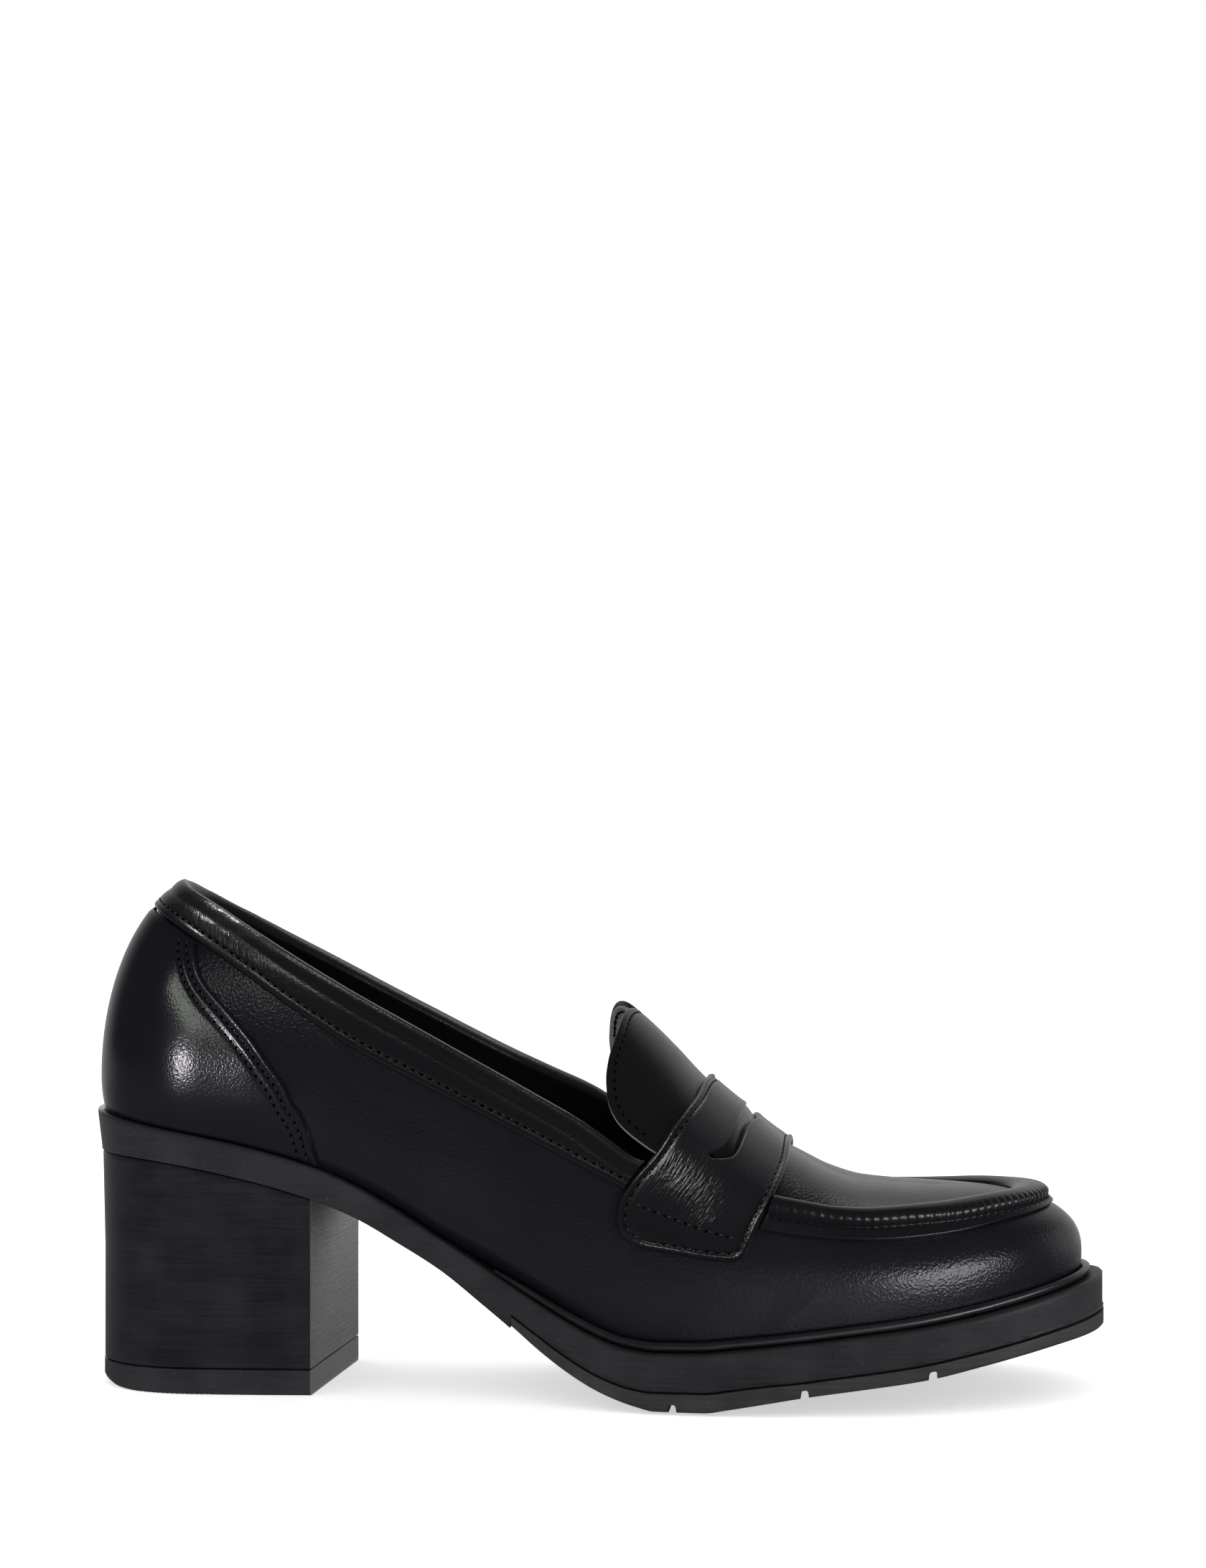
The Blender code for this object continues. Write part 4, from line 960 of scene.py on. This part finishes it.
def build_strap():
    """The penny strap with its rolled edge, slot, wrinkles and seam."""
    angles = over_the_foot(STRAP_EDGE, 15.0, 0.12, 0.62)
    slot_low = SLOT_EDGE[0].angle
    height = np.minimum(angles, 180.0 - angles)
    rear, front = smooth(STRAP_EDGE, "rear", height), smooth(STRAP_EDGE, "front", height)
    inside = height >= slot_low
    tip = (SLOT_EDGE[0].rear + SLOT_EDGE[0].front) / 2
    start = (rear[0] + front[0]) / 2
    guide = start + (tip - start) * (height - height[0]) / (slot_low - height[0])
    slot_rear = np.where(inside, smooth(SLOT_EDGE, "rear", height), guide)
    slot_front = np.where(inside, smooth(SLOT_EDGE, "front", height), guide)
    near = np.array([0.0, 0.08, 0.2, 0.36, 0.56, 0.8, 1.1, 1.4, 1.7, 2.0, 2.4, 2.9])

    near_slot = np.array([0.7, 0.45, 0.28, 0.15, 0.06, 0.0])

    def strip(edge, slot):
        """Places from the strap's edge to its slot, closer together at both."""
        width = np.abs(slot - edge)[:, None]
        far = width - near_slot
        middle = near[-1] + (far[:, :1] - near[-1]) * np.linspace(0.0, 1.0, 12)[1:-1]
        every = np.concatenate([np.tile(near, (len(width), 1)), middle, far], axis=1)
        return edge[:, None] + np.sign(slot - edge)[:, None] * every

    left, right = strip(rear, slot_rear), strip(front, slot_front)[:, ::-1]
    xs = np.concatenate([left, right], axis=1)
    under = last(xs, angles[:, None], GAP)
    normals = grid_normals(under, (152.0, 0.0, 20.0))
    hole_column = left.shape[1] - 1
    skip = np.zeros((len(angles) - 1, xs.shape[1] - 1), bool)
    skip[inside[:-1] & inside[1:], hole_column] = True
    slot_rows = np.nonzero(inside)[0]
    rim_of_slot = np.concatenate([under[slot_rows, hole_column], under[slot_rows[::-1], hole_column + 1]])
    rim_of_slot = np.concatenate([rim_of_slot, rim_of_slot[:1]])
    from_edge = distance_to(under, outline(under))
    from_slot = distance_to(under, rim_of_slot)
    distance = np.minimum(from_edge, from_slot * 1.6)
    relief = -0.38 * bump(from_edge, STRAP_SEAM, 0.4) + 0.3 * bump(from_edge, 0.9, 0.55)
    relief += 0.07 * bump(from_edge, 0.8, 0.6) * np.sin(angles * 7.3)[:, None] * np.sin(xs * 2.9)
    relief += 0.12 * bump(from_slot, 0.9, 0.6)
    across_at = (xs - rear[:, None]) / (front - rear)[:, None]
    low_half = bump(height, 30.0, 10.0)[:, None]
    wrinkle = low_half * np.clip(1.5 - across_at * 2.0, 0.0, 1.0) * np.clip(from_edge / 2.0 - 0.7, 0.0, 1.0)
    second = bump(height, 21.0, 3.5)[:, None] * bump(across_at, 0.6, 0.1)
    wrinkle = np.clip(wrinkle + 0.5 * second, 0.0, 1.0)
    girth = run_along(under[:, 8])
    lean = np.radians(82.0 - 42.0 * np.clip(across_at, 0.0, 1.0))
    ahead, up = xs - 150.0, (girth - girth[len(girth) // 2])[:, None]
    up = np.where(angles[:, None] < 90.0, up, -up)
    marks = {
        "wrinkle": wrinkle,
        "along": ahead * np.sin(lean) - up * np.cos(lean),
        "across": ahead * np.cos(lean) + up * np.sin(lean),
    }
    top, bottom = plate(under, normals, STRAP_THICKNESS, distance, 0.8, relief, marks, skip)
    piece("saddle_strap_leather", [top, bottom], [LOOKS["strap"]], ["saddle_strap"])
    rows = slice(slot_rows[0] + 2, slot_rows[-1] - 1)
    share = np.linspace(0.0, 1.0, 9)[None, :]
    backing_x = slot_rear[rows, None] + (slot_front - slot_rear)[rows, None] * share
    base = last(backing_x, angles[rows, None], GAP)
    lift = unit(last(backing_x, angles[rows, None], 2.0) - base)
    height_there = BACKING_REAR + (BACKING_FRONT - BACKING_REAR) * share**2.0
    backing = [Grid(base), Grid(base + lift * height_there[..., None])]
    piece("slot_backing", backing, [LOOKS["strap"]], [])
    behind, ahead = contour(top.points, normals, from_edge, STRAP_SEAM)
    loop = np.concatenate([behind[0], ahead[0][::-1]])
    loop_normals = np.concatenate([behind[1], ahead[1][::-1]])
    places = [evenly(loop, loop_normals, STRAP_PITCH)]
    extra_angle = np.linspace(0.0, 1.0, 40)
    for side in (-1, 1):
        extra = on_side(19.4 - 1.6 * extra_angle, side)
        extra_x = 136.8 + (162.6 - 136.8) * extra_angle
        points = last(extra_x, extra, GAP + STRAP_THICKNESS - 0.05)
        faces = unit(last(extra_x, extra, 3.0) - last(extra_x, extra, 0.0))
        places.append(evenly(points, faces, STRAP_PITCH))
    stitch_row("strap_stitches", places, thread=1.5, seed=7)


# the tab


def build_tab():
    """The apron's tab in two layers, the leather and its rough underside, stitched round the edge."""
    angles = over_the_foot(TAB_EDGE, 38.0, 0.1, 0.75)
    height = np.minimum(angles, 180.0 - angles)
    front = smooth(THROAT, "x", height, key="angle") - 2 * GAP
    rear = smooth(TAB_EDGE, "rear", height)
    lean = np.sin(np.pi * np.clip((angles - 90.0) / (90.0 - TAB_EDGE[0].angle), 0.0, 1.0))
    rear = rear - TAB_LEAN * lean
    near = np.array([0.0, 0.06, 0.15, 0.28, 0.45, 0.7, 1.0, 1.3, 1.6, 1.9, 2.2, 2.6, 3.1])
    width = (front - rear)[:, None]
    squeeze = np.minimum(1.0, width * 0.6 / near[-1])
    rest = np.linspace(0.0, 1.0, 34)[1:]
    tail = near[-1] * squeeze + (width - near[-1] * squeeze) * rest
    places = np.concatenate([near * squeeze, tail], axis=1)
    xs = rear[:, None] + places
    half_layer = TAB_THICKNESS / 2

    def layer(name, low, thickness, looks, replaced, roughness):
        under = last(xs, angles[:, None], low)
        normals = grid_normals(under, (150.0, 0.0, 20.0))
        free = np.concatenate([under[-1, ::-1], under[::-1, 0], under[0]])
        distance = distance_to(under, free)
        rough = 0.05 * np.sin(xs * 5.1 + angles[:, None] * 2.3) * np.sin(angles[:, None] * 3.7)
        relief = -0.15 * bump(distance, TAB_SEAM, 0.4) + 0.06 * bump(distance, 1.0, 0.5) + roughness * rough
        both = plate(under, normals, thickness, distance, 0.5, relief)
        piece(name, both, [looks], replaced)
        return both[0].points, normals, distance

    layer("tongue_tab_underside", -TAB_THICKNESS, half_layer - 0.04, LOOKS["suede"], [], 1.0)
    top = layer("tongue_tab_leather", -half_layer, half_layer, LOOKS["tab"], ["tongue_tab"], 0.0)
    line, faces = contour(*top, TAB_SEAM)[0]
    stitch_row("tab_stitches", [evenly(line, faces, TAB_PITCH)], seed=9)
    below = line - faces * (TAB_THICKNESS + 0.05)
    stitch_row("tab_under_stitches", [evenly(below, -faces, TAB_PITCH)], seed=11)


# the apron seam

ROLL_PROFILE = (
    # from the outer edge, over the flange and the valley of the seam, over the roll to the apron
    (0.0, 0.35), (0.015, 0.8), (0.05, 1.05), (0.14, 1.15),
    (0.24, 1.3), (0.31, 1.35), (0.36, 1.2), (0.41, 1.65),
    (0.5, 2.65), (0.6, 3.2), (0.7, ROLL_HEIGHT), (0.8, 3.25),
    (0.89, 2.75), (0.96, 1.9), (1.0, 0.9), (1.0, GAP),
)
ROLL_KEYS = table("at across height", *((at, *spot) for at, spot in enumerate(ROLL_PROFILE)))


def build_apron_seam():
    """The stitched flange with the roll above it, puckered by its stitches."""
    xs = ring(SEAM_START, LENGTH, 420)
    x, side = there_and_back(xs, xs[-2::-1])
    spots = np.linspace(0.0, len(ROLL_KEYS) - 1, 46)
    across, height = smooth(ROLL_KEYS, "across", spots), smooth(ROLL_KEYS, "height", spots)
    outer, inner = smooth(MOC_SEAM, "outer", x)[:, None], smooth(MOC_SEAM, "inner", x)[:, None]
    at_toe = np.clip((x - 205.0) / (LENGTH - 205.0), 0.0, 1.0)[:, None]
    angle = outer + (inner - outer) * (across - 0.2 * at_toe * np.sin(np.pi * across))
    start = smooth(STRAP_EDGE, "front", angle) + ROLL_CLEARANCE
    ribs = np.where(x[:, None] < 174.0, np.maximum(x[:, None], start), x[:, None])
    run = run_along(last(ribs, on_side(angle, side[:, None]))[:, 20])
    pucker = np.abs(np.cos(np.pi * run / PUCKER_PITCH))[:, None] ** 0.8 - 0.6
    lift = 0.55 * pucker * bump(across, 0.48, 0.13) + 0.2 * pucker * bump(across, 0.3, 0.06)
    lift = lift - 0.25 * bump(across, 0.375, 0.03)
    sway = 0.07 * np.sin(run / 4.3)[:, None] * bump(across, 0.7, 0.2)
    heights = height + lift + sway
    loops = last(ribs, on_side(angle, side[:, None]), heights)
    under = last(ribs[:, ::-6], on_side(angle[:, ::-6], side[:, None]), GAP)
    profile = np.concatenate([loops, under], axis=1)
    piece(
        "apron_seam_roll",
        [Grid(profile, wrap_columns=True, caps=True)],
        [LOOKS["apron"]],
        ["apron_seam"],
        sharp=70.0,
    )
    column = int(np.abs(across - 0.36).argmin())
    centres, along, _ = evenly(loops[:, column], loops[:, column], PUCKER_PITCH, -PUCKER_PITCH / 2)
    up = unit(last(ribs, on_side(angle, side[:, None]), heights + 1.0)[:, column] - loops[:, column])
    _, _, normals = evenly(loops[:, column], up, PUCKER_PITCH, -PUCKER_PITCH / 2)
    scattered(
        "apron_stitches_thread",
        bead(5, 6, 1.5, 0.4, 0.36, 0.1),
        [(centres, along, normals)],
        LOOKS["thread"],
        0.05,
        13,
        turn=78.0,
    )


# the sole


def layered(name, loops, material, replaced, sharp=50.0):
    """Closed loops round the shoe, top to bottom, with strips across the first and the last."""
    half = loops[0].shape[0] // 2
    grids = [Grid(np.stack(loops, axis=0), wrap_columns=True)]
    for loop in (loops[0], loops[-1]):
        grids.append(Grid(np.stack([loop[:half], loop[:half - 1:-1]], axis=1)))
    return piece(name, grids, [material], replaced, sharp)


def build_outsole():
    """The sole unit, with a line of moulding flash above the tread."""
    xs = np.unique(np.concatenate([ring(0.0, LENGTH, 260), [TREAD_START - 0.4, TREAD_START]]))
    x, side = there_and_back(xs, xs[::-1])
    low = smooth(SOLE, "bottom_z", x)
    low = low + np.where(x >= TREAD_START, smooth(SOLE, "tread", x) + GAP, 0.0)
    flare = HEEL_FLARE * np.clip((TREAD_START - x) / (TREAD_START - BREAST_LATERAL), 0.0, 1.0)
    broken = 0.5 + 0.5 * np.sin(x * 0.9) * np.sin(x * 0.37 + 1.0)
    flash = FLASH * np.clip((x - TREAD_START) / 8.0, 0.0, 1.0) * (0.4 + broken)

    def loop(inset, share, drop):
        px, py = inset_rim(x, side, inset)
        return np.stack([px, py, low + (rim_z(px) - low) * share + drop], axis=-1)

    loops = [loop(1.4, 1.0, 0.0), loop(0.7, 1.0, -0.03), loop(0.35, 1.0, -0.15), loop(0.1, 1.0, -0.4)]
    loops += [loop(0.0, 1.0, -0.8), loop(0.12 * flare, 0.8, 0.0), loop(0.5 * flare, 0.5, 0.0)]
    loops += [loop(flare, 0.0, 1.0), loop(flare, 0.0, 0.8), loop(flare - flash, 0.0, 0.62)]
    loops += [loop(flare - flash, 0.0, 0.42), loop(flare + 0.05, 0.0, 0.25), loop(flare + 0.3, 0.0, 0.0)]
    layered("outsole_body", loops, LOOKS["outsole"], ["outsole"])


def build_tread():
    """The forepart's tread, whose cross grooves show as small arches at its edge."""
    half = GROOVE_WIDTH / 2
    offsets = half * np.array([-1.0, -0.96, -0.8, -0.5, 0.0, 0.5, 0.8, 0.96, 1.0])
    arches = (np.array(GROOVES)[:, None] + offsets).ravel()
    xs = ring(TREAD_START, LENGTH, 260)
    xs = xs[np.abs(xs[:, None] - np.array(GROOVES)).min(axis=1) > half + 0.15]
    xs = np.sort(np.concatenate([xs, arches]))
    x, side = there_and_back(xs, xs[::-1])
    from_groove = np.abs(x[:, None] - np.array(GROOVES)).min(axis=1) / half
    cut = GROOVE_DEPTH * np.clip(1 - from_groove**4, 0.0, 1.0) ** (1 / 4)
    low, thick = smooth(SOLE, "bottom_z", x), smooth(SOLE, "tread", x)
    straight = bump(from_groove * half, 0.0, 9.0)

    def loop(inset, above):
        px, py = inset_rim(x, side, inset)
        return np.stack([px + (x - px) * straight, py, low + np.maximum(above, cut)], axis=-1)

    bevel = TREAD_BEVEL / 4
    loops = [loop(0.0, thick), loop(-TREAD_LIP + 0.05, thick - 0.05)]
    loops += [loop(-TREAD_LIP, thick - 0.3), loop(-TREAD_LIP, bevel)]
    for turn in (0.25, 0.5, 0.75):
        inset = -TREAD_LIP + (TREAD_BEVEL + TREAD_LIP) * (1 - math.cos(turn * math.pi / 2))
        loops.append(loop(inset, bevel * (1 - math.sin(turn * math.pi / 2))))
    loops.append(loop(TREAD_BEVEL, 0.0))
    layered("forepart_tread_rubber", loops, LOOKS["tread"], ["forepart_tread"], 35.0)


def heel_route(count):
    """Ribs and sides round the heel, ending at the slanted breast on each side."""
    share = 1 - np.cos(np.pi / 2 * np.arange(count + 1) / count)
    return there_and_back(BREAST_LATERAL * share, BREAST_MEDIAL * share[::-1])


def build_heel():
    """The stacked heel block, drawn in a little under the sole."""
    x, side = heel_route(70)
    seat = smooth(SOLE, "bottom_z", x) - GAP
    foot = TOP_PIECE_HEIGHT + GAP

    def loop(inset, z):
        px, py = inset_rim(x, side, inset)
        return np.stack([px, py, z + 0.0 * px], axis=-1)

    loops = [loop(HEEL_INSET + 0.2, seat), loop(HEEL_INSET, seat - 0.3)]
    for share in np.linspace(0.97, 0.0, 26):
        drawn = HEEL_DRAW * min(1.0, (1 - share) / (1 - HEEL_DRAW_HEIGHT))
        loops.append(loop(HEEL_INSET + drawn, foot + 0.3 + (seat - foot - 0.6) * share))
    loops.append(loop(HEEL_INSET + HEEL_DRAW + 0.2, foot))
    made = layered("heel_block_stack", loops, LOOKS["stack"], ["heel_block"], 40.0)
    edge = made.modifiers.new("edge", "BEVEL")
    edge.width = HEEL_EDGE * MM
    edge.segments = 2
    edge.limit_method = "ANGLE"
    edge.angle_limit = math.radians(50.0)


def build_top_piece():
    """The rubber lift, with small teeth along the foot of its back."""
    x, side = heel_route(330)
    rear = np.maximum(0.0, 1 - x / TOP_PIECE_REAR) ** 2
    px, py = inset_rim(x, side, HEEL_INSET + TOP_PIECE_INSET)
    run = np.concatenate([[0.0], np.cumsum(np.hypot(np.diff(px), np.diff(py)))])
    toothed = np.clip((TEETH_END - x) / TEETH_FADE, 0.0, 1.0)
    tooth = TOOTH_DEPTH * toothed * (np.sin(2 * np.pi * run / TOOTH_PITCH) > 0.0)

    def loop(inset, rear_inset, z, rear_z):
        qx, qy = inset_rim(x, side, HEEL_INSET + TOP_PIECE_INSET + inset + rear_inset * rear)
        return np.stack([qx, qy, z + rear_z * rear], axis=-1)

    loops = [loop(0.25, 0.0, TOP_PIECE_HEIGHT, 0.0), loop(0.05, 0.0, TOP_PIECE_HEIGHT - 0.06, 0.0)]
    loops += [loop(0.0, 0.0, TOP_PIECE_HEIGHT - 0.3, 0.0), loop(0.0, 0.0, 3.4, 0.4)]
    loops += [loop(0.0, 0.0, 1.25, 1.4), loop(0.12, 0.3, 0.85, 1.1), loop(0.35 + tooth, 0.9, 0.5, 0.7)]
    loops += [loop(0.6 + tooth, 1.6, 0.2, 0.3), loop(1.1 + tooth, 2.8, 0.0, 0.0)]
    layered("heel_lift", loops, LOOKS["top_piece"], ["heel_top_piece"], 35.0)


def build_welt():
    """The round bead between upper and sole."""
    xs = ring(WELT[0].x, LENGTH, 300)
    x, side = (values[:, None] for values in there_and_back(xs, xs[-2::-1]))
    radius, inset = smooth(WELT, "diameter", x) / 2, smooth(WELT, "inset", x)
    turn = 2 * np.pi * (np.arange(14) + 0.5)[None, :] / 14
    px, py = inset_rim(x, side, inset - radius * np.cos(turn))
    pz = rim_z(px) + GAP + radius * (1 + np.sin(turn))
    rings = np.stack([px, py, pz], axis=-1)
    body = [Grid(rings, wrap_columns=True, caps=True)]
    piece("welt_bead_rubber", body, [LOOKS["welt"]], ["welt_bead"], 60.0)


def build_insole():
    """The sock that lies on the sole inside the upper."""
    xs = ring(0.0, LENGTH, 120)
    x, side = there_and_back(xs, xs[::-1])
    clear = WALL + 2 * GAP

    def loop(inset, height):
        px, py = inset_rim(x, side, smooth(UPPER, "foot_inset", x) + clear + inset)
        return np.stack([px, py, rim_z(px) + GAP + height], axis=-1)

    high = INSOLE_THICKNESS
    loops = [loop(1.6, high), loop(0.8, high - 0.06), loop(0.25, high - 0.35), loop(0.0, high - 0.9)]
    loops.append(loop(0.0, 0.0))
    layered("insole_sock", loops, LOOKS["lining"], ["insole"])


# camera, floor and light

LENS = 76.77
CAMERA_PLACE = (0.07545, -0.82609, 0.146)
CAMERA_TILT = 90.14
CAMERA_TURN = 5.13
FLOOR_HALF = 6.0
FLOOR_LIFT = 0.55
FLOOR_MIRRORED = (0.05, 0.5)
FLOOR_BY_HEEL = 0.17
WORLD_MIRRORED = (0.03, 0.5)
WORLD_SOFT = 0.9
WORLD_SEEN = 1.1


def build_camera():
    """The photograph's view: level with the shoe's outer side, a little from the toe's end."""
    data = bpy.data.cameras.new("camera")
    data.sensor_width = 36.0
    data.sensor_fit = "AUTO"
    data.lens = LENS
    camera = bpy.data.objects.new("camera", data)
    bpy.context.scene.collection.objects.link(camera)
    camera.location = CAMERA_PLACE
    camera.rotation_euler = Euler((math.radians(CAMERA_TILT), 0.0, math.radians(CAMERA_TURN)))
    bpy.context.scene.camera = camera


def build_floor():
    """White to the camera and to soft light; in mirror images dark in front and lighter behind."""
    mesh = bpy.data.meshes.new("floor")
    corners = [(x * FLOOR_HALF, y * FLOOR_HALF, 0.0) for x, y in ((-1, -1), (1, -1), (1, 1), (-1, 1))]
    mesh.from_pydata(corners, [], [(0, 1, 2, 3)])
    floor = bpy.data.objects.new("floor", mesh)
    bpy.context.scene.collection.objects.link(floor)
    material, tree, shader = nodes_of("floor_white")
    shader.inputs["Base Color"].default_value = (0.9, 0.9, 0.9, 1.0)
    shader.inputs["Roughness"].default_value = 0.9
    shader.inputs["Specular IOR Level"].default_value = 0.1
    place = add(tree, "TexCoord").outputs["Object"]
    split = add(tree, "SeparateXYZ", {"Vector": place})
    front = ramp(tree, split.outputs["X"], -0.04, 0.02, FLOOR_BY_HEEL, FLOOR_MIRRORED[0])
    strength = ramp(tree, split.outputs["Y"], 0.0, 0.5, front, FLOOR_MIRRORED[1])
    mirrored = add(tree, "Emission", {"Strength": strength})
    glossy = add(tree, "LightPath").outputs["Is Glossy Ray"]
    lifted = add(tree, "Emission", {"Strength": FLOOR_LIFT})
    seen = add(tree, "AddShader", {0: shader.outputs[0], 1: lifted.outputs[0]})
    both = add(tree, "MixShader", {0: glossy, 1: seen.outputs[0], 2: mirrored.outputs[0]})
    tree.links.new(both.outputs[0], tree.nodes["Material Output"].inputs["Surface"])
    mesh.materials.append(material)


LAMPS = table(
    "name aim azimuth elevation distance width height roll power colour lit",
    # aim in the frame, azimuth 0 on the camera's side and growing to the right, sizes in metres,
    # roll in degrees about the beam, power in watts, and the pieces that it lights
    ("counter_spot", (-0.0975, -0.029, 0.081), -22.7, 3.0, 1.6, 0.1, 0.08, 0.0, 4.6,
     (1.0, 0.95, 1.0), ("heel_counter_skin", "counter_stitches_thread")),
    ("counter_glow", (-0.093, -0.026, 0.094), -27.0, 22.0, 0.3, 0.17, 0.035, -38.0, 0.14,
     (0.93, 1.0, 0.88), ("heel_counter_skin", "counter_stitches_thread")),
    ("quarter_glow", (-0.083, -0.025, 0.1), -10.0, 30.0, 0.3, 0.03, 0.03, 0.0, 0.035,
     (0.95, 1.0, 0.95), ("upper_leather_shell",)),
    ("vamp_core", (0.08, -0.032, 0.03), 27.0, -5.0, 0.5, 0.3, 0.1, 30.0, 0.45,
     (1.0, 0.96, 1.0), ("upper_leather_shell",)),
    ("vamp_strip", (0.08, -0.032, 0.03), 28.0, -9.0, 0.5, 0.8, 0.13, 28.0, 3.4,
     (1.0, 0.96, 1.0), ("upper_leather_shell", "welt_bead_rubber")),
    ("toe_right", (0.11, -0.02, 0.035), 112.0, 15.0, 1.0, 0.6, 0.6, 0.0, 0.33, (1.0, 1.0, 1.0),
     ("upper_leather_shell", "apron_seam_roll")),
    ("toe_side", (0.1, -0.03, 0.02), 72.0, 10.0, 1.0, 0.4, 0.4, 0.0, 1.6, (0.96, 0.95, 1.0),
     ("outsole_body", "forepart_tread_rubber", "welt_bead_rubber")),
    ("collar_line", (-0.088, -0.02, 0.115), -46.0, 78.0, 0.5, 0.07, 0.07, 0.0, 0.9,
     (1.0, 1.0, 1.0), ("collar_band", "collar_stitches_thread")),
    ("collar_wrinkles", (-0.0855, -0.024, 0.106), 6.0, 48.0, 0.4, 0.06, 0.06, 0.0, 0.09,
     (1.0, 1.0, 1.0), ("collar_band", "collar_stitches_thread")),
    ("collar_side", (0.0, -0.03, 0.08), -15.0, 50.0, 0.8, 0.6, 0.3, 0.0, 0.2,
     (1.0, 1.0, 1.0), ("collar_band", "collar_stitches_thread")),
    ("strap_wrinkles", (0.01, -0.035, 0.056), -40.0, 62.0, 0.4, 0.3, 0.16, 0.0, 1.3,
     (1.0, 1.0, 1.0), ("saddle_strap_leather", "strap_stitches_thread")),
    ("strap_front", (0.04, -0.02, 0.055), 118.0, 46.0, 0.8, 0.6, 0.5, 0.0, 0.26,
     (1.0, 1.0, 1.0), ("saddle_strap_leather", "strap_stitches_thread")),
    ("high_rear", (0.03, -0.02, 0.07), 150.0, 30.0, 1.4, 1.5, 1.2, 0.0, 0.25, (1.0, 1.0, 1.0),
     ("tongue_tab_leather", "tab_stitches_thread")),
    ("tab_under", (0.012, 0.01, 0.085), -15.0, -5.0, 0.35, 0.1, 0.1, 0.0, 0.4, (1.0, 1.0, 1.0),
     ("tongue_tab_underside",)),
    ("roll", (0.078, -0.031, 0.043), 48.0, 12.0, 0.6, 0.35, 0.16, 0.0, 1.8,
     (1.0, 1.0, 1.0), ("apron_seam_roll", "apron_stitches_thread")),
    ("breast", (-0.066, -0.002, 0.025), 150.0, 5.0, 1.2, 0.8, 0.8, 0.0, 6.5,
     (1.0, 1.0, 1.0), ("heel_block_stack", "heel_lift")),
    ("overhead", (0.03, 0.0, 0.05), 180.0, 62.0, 0.9, 0.5, 0.4, 0.0, 0.9, (1.0, 1.0, 1.0),
     ("upper_leather_shell", "collar_band", "saddle_strap_leather", "heel_counter_skin",
      "welt_bead_rubber")),
    ("inner_side", (0.0, 0.03, 0.06), 205.0, 12.0, 1.2, 0.6, 0.3, 0.0, 2.0, (1.0, 1.0, 1.0),
     ("upper_leather_shell", "outsole_body", "heel_block_stack", "heel_lift", "forepart_tread_rubber")),
)


def build_lamps():
    """The studio lamps, each for its own pieces and shaded by every piece of the shoe."""
    solid = [thing for thing in bpy.data.objects if thing.type == "MESH" and thing.name != "floor"]
    blocking = bpy.data.collections.new("blocking")
    for thing in solid:
        blocking.objects.link(thing)
    for lamp in LAMPS:
        data = bpy.data.lights.new(lamp.name, "AREA")
        data.shape = "ELLIPSE" if lamp.width == lamp.height else "RECTANGLE"
        data.size, data.size_y = lamp.width, lamp.height
        data.energy = lamp.power
        data.color = lamp.colour
        made = bpy.data.objects.new(lamp.name, data)
        bpy.context.scene.collection.objects.link(made)
        azimuth, elevation = math.radians(lamp.azimuth), math.radians(lamp.elevation)
        towards = Vector(
            (
                math.sin(azimuth) * math.cos(elevation),
                -math.cos(azimuth) * math.cos(elevation),
                math.sin(elevation),
            )
        )
        made.location = Vector(lamp.aim) + towards * lamp.distance
        facing = towards.to_track_quat("Z", "Y")
        made.rotation_euler = (facing @ Quaternion((0.0, 0.0, 1.0), math.radians(lamp.roll))).to_euler()
        lit = bpy.data.collections.new(lamp.name + "_lit")
        for name in lamp.lit:
            lit.objects.link(bpy.data.objects[name])
        made.light_linking.receiver_collection = lit
        made.light_linking.blocker_collection = blocking


def build_world():
    """White where the camera looks, even for soft light, and in mirror images bright only behind."""
    world = bpy.data.worlds.new("studio")
    bpy.context.scene.world = world
    world.use_nodes = True
    tree = world.node_tree
    background = tree.nodes["Background"]
    background.inputs["Color"].default_value = (1.0, 1.0, 1.0, 1.0)
    direction = add(tree, "TexCoord").outputs["Generated"]
    split = add(tree, "SeparateXYZ", {"Vector": direction})
    rear = ramp(tree, split.outputs["Y"], 0.3, 0.75, *WORLD_MIRRORED)
    path = add(tree, "LightPath")
    soft_or_seen = ramp(tree, path.outputs["Is Camera Ray"], 0.0, 1.0, WORLD_SOFT, WORLD_SEEN)
    strength = ramp(tree, path.outputs["Is Glossy Ray"], 0.0, 1.0, soft_or_seen, rear)
    tree.links.new(strength, background.inputs["Strength"])


build_upper()
build_collar()
build_counter()
build_strap()
build_tab()
build_apron_seam()
build_outsole()
build_tread()
build_heel()
build_top_piece()
build_welt()
build_insole()
build_camera()
build_floor()
build_lamps()
build_world()
bpy.context.scene.view_settings.view_transform = "Standard"
